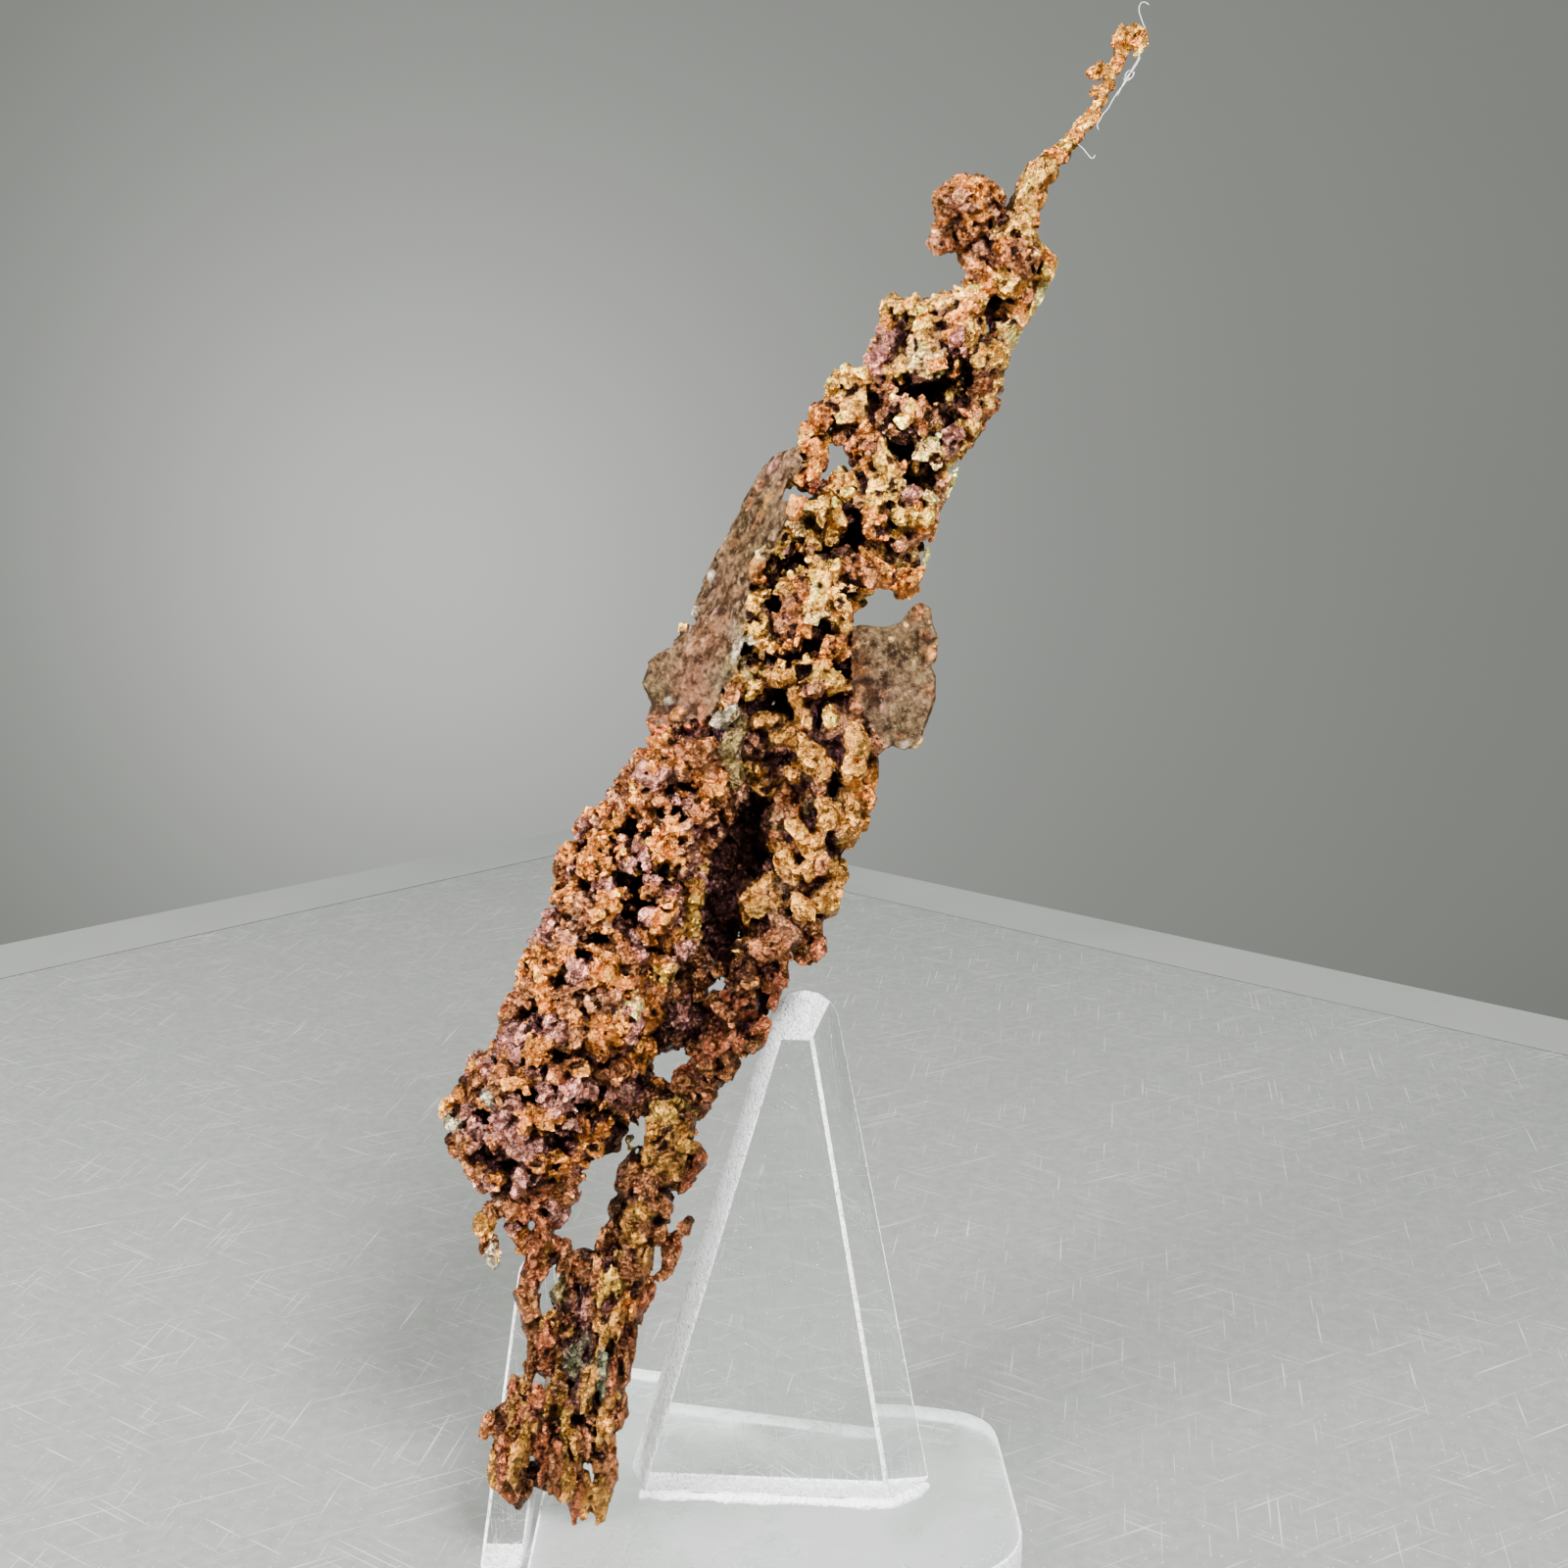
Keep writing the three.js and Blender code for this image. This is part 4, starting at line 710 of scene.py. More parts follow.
# Soft patches of tone on the sheet and the fin: across, along, spread, and the tone.
calm_patches = [
    (15.38, 82.66, 1.23, (0.46, 0.3, 0.26)), (13.46, 79.2, 2, (0.27, 0.2, 0.12)),
    (12.84, 76.12, 1.69, (0.31, 0.23, 0.14)), (11.69, 73.04, 1.54, (0.42, 0.29, 0.2)),
    (10.38, 69.19, 1.85, (0.54, 0.33, 0.23)), (8.91, 65.34, 2, (0.6, 0.35, 0.26)),
    (6.3, 64.96, 1.31, (0.36, 0.31, 0.2)), (6.3, 67.04, 1.08, (0.36, 0.28, 0.19)),
    (11.15, 65.73, 1, (0.42, 0.39, 0.33)), (12.46, 69.58, 0.69, (0.55, 0.52, 0.47)),
    (13.99, 76.12, 0.69, (0.24, 0.2, 0.12)), (25.77, 68.42, 1.85, (0.21, 0.17, 0.11)),
    (21.38, 69.04, 1.38, (0.4, 0.3, 0.21)), (24.08, 69.42, 1, (0.38, 0.33, 0.24)),
    (21.69, 66.88, 1.08, (0.42, 0.23, 0.13)), (23.85, 64.73, 1, (0.2, 0.13, 0.12)),
    (25.77, 62.26, 1.54, (0.24, 0.2, 0.13)), (27.31, 62.11, 0.62, (0.52, 0.45, 0.34)),
    (27.7, 68.04, 0.62, (0.52, 0.3, 0.15)), (26.77, 71.12, 0.92, (0.27, 0.17, 0.09)),
    (27.7, 64.96, 0.62, (0.42, 0.24, 0.15)),
]

along_step = np.array([0, math.sin(copper_lean), math.cos(copper_lean)])
across_step = np.array([1.0, 0, 0])
out_step = np.cross(across_step, along_step)
layout_axes = np.stack([across_step, along_step, out_step])
tilt_cos, tilt_sin = math.cos(axis_tilt), math.sin(axis_tilt)
tilt_axes = np.array([[tilt_cos, -tilt_sin, 0], [tilt_sin, tilt_cos, 0], [0, 0, 1]])
grid_axes = tilt_axes @ layout_axes

node_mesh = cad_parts["native_copper"].data
node_points = np.empty(len(node_mesh.vertices) * 3)
node_mesh.vertices.foreach_get("co", node_points)
node_mesh.calc_loop_triangles()
node_faces = np.empty(len(node_mesh.loop_triangles) * 3, dtype=np.int32)
node_mesh.loop_triangles.foreach_get("vertices", node_faces)
in_grid = (node_points.reshape(-1, 3) - copper_foot) @ grid_axes.T * 1000
grid_low = in_grid.min(axis=0) - grid_margin
grid_blocks = (in_grid.max(axis=0) + grid_margin - grid_low) / voxel / grid_block
grid_shape = np.ceil(grid_blocks).astype(int) * grid_block

band = 16
level_set = openvdb.FloatGrid.createLevelSetFromPolygons(
    ((in_grid - grid_low) / voxel).astype(np.float32),
    triangles=node_faces.reshape(-1, 3).astype(np.uint32),
    transform=openvdb.createLinearTransform(voxelSize=1.0),
    halfWidth=float(band),
)
body = np.empty(tuple(grid_shape), dtype=np.float32)
level_set.copyToArray(body, ijk=(0, 0, 0))
body *= voxel


def blurred(field, sigma):
    """The field softened by a Gaussian of the given width in millimetres."""
    squared = [np.fft.fftfreq(count, voxel) ** 2 for count in field.shape[:2]]
    squared.append(np.fft.rfftfreq(field.shape[2], voxel) ** 2)
    spectrum = np.fft.rfftn(field)
    for side, frequency in enumerate(squared):
        span = [1, 1, 1]
        span[side] = -1
        spectrum *= np.exp(-2 * (math.pi * sigma) ** 2 * frequency).reshape(span)
    return np.fft.irfftn(spectrum, s=field.shape).astype(np.float32)


def lumpy_noise(spacing, seed):
    """Smooth random field with lumps about this far apart, between about -1 and 1."""
    chance = np.random.default_rng(seed)
    shape = [int(count * voxel / spacing) + 4 for count in grid_shape]
    field = chance.uniform(-1, 1, shape).astype(np.float32)
    for side in range(3):
        at = np.arange(grid_shape[side]) * voxel / spacing + 0.5
        base = np.floor(at).astype(int)
        part = (at - base).astype(np.float32)
        part = part * part * (3 - 2 * part)
        span = [1, 1, 1]
        span[side] = -1
        part = part.reshape(span)
        below, above = np.take(field, base, axis=side), np.take(field, base + 1, axis=side)
        field = below * (1 - part) + above * part
    return field


def layered_noise(*layers):
    """Sum of lumpy fields, each given by its strength, the spacing of its lumps and its seed."""
    return sum(strength * lumpy_noise(spacing, seed) for strength, spacing, seed in layers)


def outline_distance(outline, u, v):
    """Distance to a closed outline in the plane, below zero inside it."""
    starts = np.array(outline)
    nearest = np.full(u.shape, 1e9, dtype=np.float32)
    inside = np.zeros(u.shape, dtype=bool)
    for (u1, v1), (u2, v2) in zip(starts, np.roll(starts, -1, axis=0)):
        du, dv = u2 - u1, v2 - v1
        share = np.clip(((u - u1) * du + (v - v1) * dv) / (du * du + dv * dv), 0, 1)
        nearest = np.minimum(nearest, (u - u1 - share * du) ** 2 + (v - v1 - share * dv) ** 2)
        inside ^= ((v1 > v) != (v2 > v)) & (u < du * (v - v1) / (dv if dv else 1e-9) + u1)
    return np.where(inside, -np.sqrt(nearest), np.sqrt(nearest)).astype(np.float32)


# A flat chart of places as seen from the front, which the outlines are worked out on.
chart_step = 0.2
chart_low, chart_high = np.array([-14.0, -4.0]), np.array([48.0, 122.0])
chart_u, chart_v = np.meshgrid(
    *[np.arange(*ends, chart_step, dtype=np.float32) for ends in zip(chart_low, chart_high)],
    indexing="ij",
)


def seen_from_front(places):
    """Where layout places [across, along, out] lie in the plane, as seen by the viewer."""
    spread = view_distance / (view_distance - places[..., 2])
    u = view_centre[0] + (places[..., 0] - view_centre[0]) * spread
    v = view_centre[1] + (places[..., 1] - view_centre[1]) * spread
    return u, v


def read_chart(chart, u, v):
    """Reads a chart between its points."""
    i = np.clip((u - chart_low[0]) / chart_step, 0, chart.shape[0] - 1.001)
    j = np.clip((v - chart_low[1]) / chart_step, 0, chart.shape[1] - 1.001)
    i0, j0 = i.astype(int), j.astype(int)
    fi, fj = i - i0, j - j0
    low = chart[i0, j0] * (1 - fj) + chart[i0, j0 + 1] * fj
    high = chart[i0 + 1, j0] * (1 - fj) + chart[i0 + 1, j0 + 1] * fj
    return (low * (1 - fi) + high * fi).astype(np.float32)


side_at = (np.arange(grid_shape[0]) * voxel + grid_low[0])[:, None]
long_at = (np.arange(grid_shape[1]) * voxel + grid_low[1])[None, :]
out_at = np.arange(grid_shape[2]) * voxel + grid_low[2]
across_at = side_at * tilt_cos + long_at * tilt_sin
along_at = -side_at * tilt_sin + long_at * tilt_cos


def through_depth(chart):
    """A flat chart carried through the whole depth of the grid, along the lines of sight."""
    field = np.empty(tuple(grid_shape), dtype=np.float32)
    for layer, out in enumerate(out_at):
        spread = view_distance / (view_distance - out)
        u = view_centre[0] + (across_at - view_centre[0]) * spread
        v = view_centre[1] + (along_at - view_centre[1]) * spread
        field[:, :, layer] = read_chart(chart, u, v)
    return field


def to_grid(u, v, out):
    """Grid steps of a place, or a chart of places, as seen from the front at one depth."""
    shrink = (view_distance - out) / view_distance
    across = view_centre[0] + (u - view_centre[0]) * shrink
    along = view_centre[1] + (v - view_centre[1]) * shrink
    sideways, upwards = across * tilt_cos - along * tilt_sin, across * tilt_sin + along * tilt_cos
    return (np.stack([sideways, upwards, np.full(np.shape(u), out)], axis=-1) - grid_low) / voxel


def front_of(field, u, v):
    """How far out the field's surface stands at a place as seen from the front."""
    for out in out_at[::-1]:
        step = to_grid(u, v, out).round().astype(int)
        if np.any(step < 0) or np.any(step >= grid_shape):
            continue
        if field[tuple(step)] < 0:
            return out
    return None


def block_around(centre, reach):
    """The block of the grid within reach of a place, and the distances to it along each side."""
    low = np.maximum(np.floor(centre - reach / voxel).astype(int), 0)
    high = np.minimum(np.ceil(centre + reach / voxel).astype(int) + 1, grid_shape)
    if np.any(high <= low):
        return None, None
    ends = list(zip(low, high, centre))
    steps = [((np.arange(start, stop) - at) * voxel).astype(np.float32) for start, stop, at in ends]
    block = tuple(slice(start, stop) for start, stop, at in ends)
    return block, np.meshgrid(*steps, indexing="ij", sparse=True)


def join_rod(field, first, second, first_radius, second_radius):
    """Adds a tapering round rod between two places in grid steps."""
    middle = (first + second) / 2
    span = np.abs(second - first).max() * voxel / 2
    block, (x, y, z) = block_around(middle, span + max(first_radius, second_radius) + 1)
    axis = (second - first) * voxel
    start = (first - middle) * voxel
    length = max(float(axis @ axis), 1e-6)
    share = (x - start[0]) * axis[0] + (y - start[1]) * axis[1] + (z - start[2]) * axis[2]
    share = np.clip(share / length, 0, 1)
    off = (x - start[0] - share * axis[0]) ** 2 + (y - start[1] - share * axis[1]) ** 2
    off = np.sqrt(off + (z - start[2] - share * axis[2]) ** 2)
    distance = off - (first_radius + share * (second_radius - first_radius))
    field[block] = np.minimum(field[block], distance)


def soft_max(first, second, softness):
    """The greater of two fields, with the crease between them rounded."""
    overlap = np.maximum(softness - np.abs(first - second), 0) / softness
    return np.maximum(first, second) + overlap * overlap * softness / 4


# The tints that the crystals of each growth are drawn from, and how large they usually are.
palettes = {
    "upper": ["gold", "gold", "gold", "orange", "yellow", "brown", "dusk", "gold"],
    "middle": ["ochre", "ochre", "ochre", "dusk", "brown", "yellow"],
    "lobe": ["orange", "brown", "orange", "rose", "orange", "dusk", "brown"],
    "low_lobe": ["rose", "brown", "rose", "orange", "brown", "rose"],
    "strand": ["brown", "brown", "red", "brown", "dark"],
    "tail": ["ochre", "brown", "ochre", "brown", "brown", "red"],
    "knob": ["orange", "brown", "orange", "dusk"],
    "far": ["rose", "brown", "dark", "brown"],
}
districts = list(palettes)
usual_size = np.array([0.85, 1.0, 0.62, 0.72, 0.85, 0.62, 0.55, 0.75])
lobe_edge_along = [26, 31.6, 34.4, 38.8, 43.9, 51.6, 57.5, 61]
lobe_edge_across = [0.8, 3, 4.1, 6, 7.9, 10.3, 12, 9]


def district(u, v, out):
    """The number of the growth of crystals that each place belongs to."""
    in_lobe = u < np.interp(v, lobe_edge_along, lobe_edge_across)
    rules = [
        ("strand", v < 45),
        ("far", out < -0.9),
        ("lobe", in_lobe & (v >= 38)),
        ("low_lobe", in_lobe & (v < 38)),
        ("upper", v > 66),
        ("tail", v < 22),
        ("knob", (v > 101.2) | ((v > 97.4) & (u < 33.5))),
    ]
    number = districts.index("middle")
    for name, holds in rules:
        number = np.where(holds, districts.index(name), number)
    return number


# The outline, less its see-through holes, and the branches that reach beyond it.
outline_chart = outline_distance(whole_outline, chart_u, chart_v)
for hole in see_through:
    outline_chart = np.maximum(outline_chart, -outline_distance(hole, chart_u, chart_v))
allowed = through_depth(outline_chart)

rods = np.full(tuple(grid_shape), 9, dtype=np.float32)
smooth_rods = rods.copy()
inner_rods = rods.copy()
for name, path in branches.items():
    kind = inner_rods if name in inner_branches else rods
    kind = smooth_rods if name in smooth_branches else kind
    for (u1, v1, out1, radius1), (u2, v2, out2, radius2) in zip(path, path[1:]):
        join_rod(kind, to_grid(u1, v1, out1), to_grid(u2, v2, out2), radius1, radius2)
for u, v, out, radius in knob:
    centre = to_grid(u, v, out)
    join_rod(rods, centre, centre + 0.5, radius, radius)
web = np.maximum(through_depth(outline_distance(web_outline, chart_u, chart_v)), allowed + 0.3)
web = np.maximum(web, np.abs(out_at - web_out) - web_thickness / 2)
inner_rods = np.maximum(inner_rods, allowed + 0.3)
allowed = np.minimum(allowed, np.minimum(rods, smooth_rods))
ragged = layered_noise((0.24, 0.75, 21), (0.12, 0.4, 22))

# The body, drawn in by the size of the crystals that will cover it.
front_district = district(chart_u, chart_v, 0)
inset = through_depth(usual_size[front_district].astype(np.float32))
copper = soft_max(blurred(body, 0.3) + 1.05 * inset, allowed + 1.0 * inset, 1.2)
copper = np.minimum(copper, np.minimum(rods, inner_rods) + 0.5)
copper = np.minimum(copper, web + 0.3)

# The sheet and the fin, and clear space in front of the sheet.
ridge, edge = np.array(sheet_ridge)[::-1], np.array(sheet_edge)[::-1]
ridge_u = np.interp(chart_v, ridge[:, 1], ridge[:, 0])
edge_u = np.interp(chart_v, edge[:, 1], edge[:, 0])
sheet_share = np.clip((chart_u - edge_u) / (ridge_u - edge_u), -0.3, 1.3)
sheet_height = sheet_edge_out + sheet_share * (sheet_ridge_out - sheet_edge_out)
sheet_chart = outline_distance(sheet_outline, chart_u, chart_v)
in_sheet = through_depth(sheet_chart)
above_sheet = (out_at - through_depth(sheet_height.astype(np.float32))) * sheet_slope
above_sheet = above_sheet - layered_noise((0.2, 2.6, 41), (0.1, 0.9, 42), (0.07, 0.4, 46))
sheet = np.maximum(np.abs(above_sheet + sheet_thickness / 2) - sheet_thickness / 2, in_sheet)
copper = np.maximum(copper, -np.maximum(in_sheet - 0.3, -above_sheet))
copper = np.minimum(copper, sheet)

seen_u = through_depth(chart_u)
in_fin = through_depth(outline_distance(fin_outline, chart_u, chart_v))
fin_wave = layered_noise((0.4, 3.4, 43), (0.16, 1.1, 44), (0.08, 0.5, 45))
rim = np.clip(1 + in_fin / fin_rim_width, 0, 1) * fin_rim
fin = np.abs(out_at - fin_out - fin_wave) - fin_thickness / 2 - rim
fin = soft_max(fin, in_fin, 0.5)
fin_front = fin_out + fin_wave + fin_thickness / 2
before_fin = np.minimum(np.minimum(-in_fin, seen_u - fin_start), out_at - fin_front)
copper = np.maximum(copper, before_fin)
copper = np.minimum(copper, fin)

# Where the skin is calm, so that no crystals grow: the sheet, the fin and the thin branches.
calm = np.zeros(tuple(grid_shape), dtype=np.float32)
calm[(in_sheet < 0.35) & (np.abs(above_sheet) < 1.1)] = 1
calm[(in_fin < 0.25) & (seen_u > 21.4)] = 1
calm[(smooth_rods < 0.6) & (smooth_rods < rods)] = 0.6


def carve(field, places, wider, deeper):
    """Cuts rounded pits into a field, a little wider and deeper than they are given."""
    for (u, v, half_width, half_height, depth), out in places:
        centre = to_grid(u, v, out)
        half = np.array([half_width + wider, half_height + wider, depth + deeper])
        block, (x, y, z) = block_around(centre, max(half) + 0.6)
        x, y = x * tilt_cos + y * tilt_sin, -x * tilt_sin + y * tilt_cos
        scaled = np.sqrt((x / half[0]) ** 2 + (y / half[1]) ** 2 + (z / half[2]) ** 2)
        gradient = (x / half[0] ** 2) ** 2 + (y / half[1] ** 2) ** 2 + (z / half[2] ** 2) ** 2
        gradient = np.sqrt(gradient) + 1e-6
        ellipsoid = scaled * (scaled - 1) / gradient
        field[block] = np.maximum(field[block], -ellipsoid)


# The hollow between the lobe and the strand, and the pits, cut a little wide before crystals
# line them. The pits stop short of the back.
in_cavity = through_depth(outline_distance(deep_cavity, chart_u, chart_v))
cavity = np.maximum(in_cavity, cavity_floor_out - out_at)
copper = np.maximum(copper, -(cavity - cavity_widening))
pit_places = [(pit, front_of(copper, pit[0], pit[1])) for pit in pits]
pit_places = [(pit, out) for pit, out in pit_places if out is not None]
whole = copper.copy()
carve(copper, pit_places, pit_widening, pit_deepening)
copper = np.where(out_at < pits_stop_out, np.minimum(copper, whole), copper)
swollen = copper + 0.4 * lumpy_noise(1.5, 11) + 0.1 * lumpy_noise(0.8, 12)
copper = np.where(calm > 0.5, copper, swollen)
pit_zone = np.full(tuple(grid_shape), -9, dtype=np.float32)
carve(pit_zone, pit_places, pit_widening, pit_zone_deepening)
pit_zone = np.maximum(pit_zone, -(cavity - cavity_widening))
pit_floor = pit_zone > 0.25
pit_zone = pit_zone > -0.35

# The forms that copper crystals take: the directions of the faces of each.
cube = np.array([[1, 0, 0], [0, 1, 0], [0, 0, 1]]) * 1.12
octahedron = np.array([[1, 1, 1], [-1, 1, 1], [1, -1, 1], [1, 1, -1]]) / math.sqrt(3) * 1.15
blunt_cube = np.array([[1, 0, 0], [0, 1, 0], [0, 0, 1], [0.62, 0.62, 0.62], [-0.62, 0.62, 0.62]])
dodecahedron = np.array([[1, 1, 0], [1, -1, 0], [1, 0, 1], [1, 0, -1], [0, 1, 1], [0, 1, -1]])
dodecahedron = dodecahedron / math.sqrt(2)
forms = [cube, octahedron, blunt_cube * 1.05, dodecahedron]


def turned(axis, angle):
    """A turn by an angle about an axis."""
    cross = np.array([[0, -axis[2], axis[1]], [axis[2], 0, -axis[0]], [-axis[1], axis[0], 0]])
    return np.eye(3) + math.sin(angle) * cross + (1 - math.cos(angle)) * cross @ cross


def random_turn(chance, most):
    """A turn about any axis, by no more than an angle."""
    axis = chance.standard_normal(3)
    return turned(axis / np.linalg.norm(axis), chance.uniform(-most, most))


# The crystal that each place of the grid belongs to, and the tint of each: first the bare body.
owner = np.zeros(tuple(grid_shape), dtype=np.int32)
owner_tints = [(0.4, 0.22, 0.12)]


def crystal_in(centre, radius, longer, lean, form, turn, chance):
    """One crystal's block of the grid, and the distance to its faces there."""
    block, steps = block_around(centre, radius * longer * 1.3 + voxel)
    if block is None:
        return None, None
    x, y, z = steps
    lean -= axis_tilt
    x, y = x * math.cos(lean) - y * math.sin(lean), x * math.sin(lean) + y * math.cos(lean)
    y = y / longer
    distance = np.full(np.broadcast(x, y, z).shape, -9, dtype=np.float32)
    for plane in form @ turn:
        shift, size = chance.uniform(-0.12, 0.12) * radius, chance.uniform(0.62, 1.12) * radius
        from_middle = np.abs(plane[0] * x + plane[1] * y + plane[2] * z - shift)
        distance = np.maximum(distance, from_middle - size)
    return block, distance


def grow_crystal(field, chance, centre, radius, longer, lean, form, turn, tint):
    """Adds one crystal: centre in grid steps, radius in mm, its long side leaning from upright."""
    block, distance = crystal_in(centre, radius, longer, lean, form, turn, chance)
    if block is None:
        return
    owner_tints.append(tint)
    closer = distance < field[block]
    owner[block][closer & (distance < 0.25)] = len(owner_tints) - 1
    field[block] = np.minimum(field[block], distance)


def length_and_lean(longer=1, lean=0):
    """How much longer than wide a lump is, and its lean, where they are given."""
    return longer, math.radians(lean)


chance = np.random.default_rng(growth_seed)
base_copper = copper.copy()
rounded_tints, rounded_growth, free_standing_out = ("ochre", "dusk", "olive"), 1.12, 0.5
lump_sink, low_lump_sink = 0.1, 0.6
for tint, crystals in lumps.items():
    for u, v, radius, *rest in crystals:
        out = front_of(base_copper, u, v)
        if out is None:
            out = free_standing_out
        if tint in rounded_tints:
            kind, radius = dodecahedron, radius * rounded_growth
        else:
            kind = forms[chance.integers(len(forms))]
        centre, turn = to_grid(u, v, out - lump_sink * radius), random_turn(chance, 3)
        longer, lean = length_and_lean(*rest)
        grow_crystal(copper, chance, centre, radius, longer, lean, kind, turn, tints[tint])
for tint, crystals in low_lumps.items():
    for u, v, radius, *rest in crystals:
        out = front_of(base_copper, u, v)
        if out is None:
            continue
        centre, turn = to_grid(u, v, out - low_lump_sink * radius), random_turn(chance, 3)
        longer, lean = length_and_lean(*rest)
        grow_crystal(copper, chance, centre, radius, longer, lean, octahedron, turn, tints[tint])
hand_set = len(owner_tints)
cell_key = np.array([1, 4096, 4096 * 4096])
widest_spacing = 1.4


def spread_out(skin, spacing):
    """Picks places no nearer to each other than their spacing, in random order."""
    cell = np.floor(skin * voxel / (spacing[:, None] * 0.6)).astype(np.int64) @ cell_key
    first = np.unique(cell, return_index=True)[1]
    chance.shuffle(first)
    taken, picked = {}, []
    homes = np.floor(skin[first] * voxel / widest_spacing).astype(int).tolist()
    spots = (skin[first] * voxel).tolist()
    for index, home, (x, y, z), gap in zip(first, homes, spots, spacing[first].tolist()):
        near = []
        for i, j, k in np.ndindex(3, 3, 3):
            near += taken.get((home[0] + i - 1, home[1] + j - 1, home[2] + k - 1), [])
        if all((x - p) ** 2 + (y - q) ** 2 + (z - r) ** 2 > gap * gap for p, q, r in near):
            taken.setdefault(tuple(home), []).append((x, y, z))
            picked.append(index)
    return np.array(picked)


# Small gaps between the crystals, with painted shade in them: the share of places in each growth,
# and their size. The middle of the depth stays whole, so that none goes right through.
# Near-black painted shade for the walls of gaps, crevices, pit floors, the hollow and the lining.
owner_tints.append((0.03, 0.013, 0.008))
painted_shade_tint = len(owner_tints) - 1
gap_share = np.array([0.3, 0.08, 0.3, 0.25, 0.25, 0.4, 0.2, 0.2])
gap_size = np.array([0.36, 0.3, 0.3, 0.32, 0.3, 0.3, 0.3, 0.36])
gap_spacing = 1.15
cut_zone = (out_at > 0.1) | (out_at < -2.4)


def cut_gaps():
    """Cuts the small gaps into the copper as it stands, and paints what they bare dark as painted
    shade.
    """
    skin = np.argwhere(np.abs(copper) < 0.5 * voxel)
    skin = skin[cut_zone[skin[:, 2]]]
    at = tuple(skin.T)
    hand_laid = (owner[at] > 0) & (owner[at] < hand_set)
    fit = (calm[at] < 0.3) & (allowed[at] < -0.9) & (~hand_laid | (chance.random(len(skin)) < 0.25))
    skin = skin[fit]
    places = (skin * voxel + grid_low) @ tilt_axes
    where = district(*seen_from_front(places), places[:, 2])
    picked = spread_out(skin, np.full(len(skin), gap_spacing))
    picked = picked[chance.random(len(picked)) < gap_share[where[picked]]]
    for index in picked:
        radius = gap_size[where[index]] * chance.uniform(0.7, 1.3)
        centre = skin[index] + chance.uniform(-0.5, 0.5, 3)
        lean, form = chance.uniform(0, 3.1), forms[chance.integers(len(forms))]
        turn, longer = random_turn(chance, 3), chance.uniform(1.4, 2.8)
        block, distance = crystal_in(centre, radius, longer, lean, form, turn, chance)
        distance = np.where(cut_zone[block[2]], distance, 9)
        owner[block][(-distance > copper[block]) & (distance < 0.1)] = painted_shade_tint
        copper[block] = np.maximum(copper[block], -distance)


# Winding crevices between the clumps of crystals, cut a little way in.
creviced = [districts.index(name) for name in ("upper", "lobe", "low_lobe")]
creviced = through_depth(np.isin(front_district, creviced).astype(np.float32)) > 0.5
crevice_width, crevice_depth = 0.2, 0.75


def cut_crevices():
    """The copper with the crevices cut in it. What they bare is painted dark, as painted shade."""
    winding = np.abs(layered_noise((1, 1.9, 51), (0.25, 0.8, 52)))
    crevice = np.minimum(crevice_width - 0.62 * winding, copper + crevice_depth)
    here = cut_zone & (calm < 0.3) & (lumpy_noise(3.1, 53) > -0.05) & (allowed < -0.7)
    crevice = np.where(here & creviced, crevice, -9)
    owner[crevice > np.maximum(copper, -0.15)] = painted_shade_tint
    return np.maximum(copper, crevice)


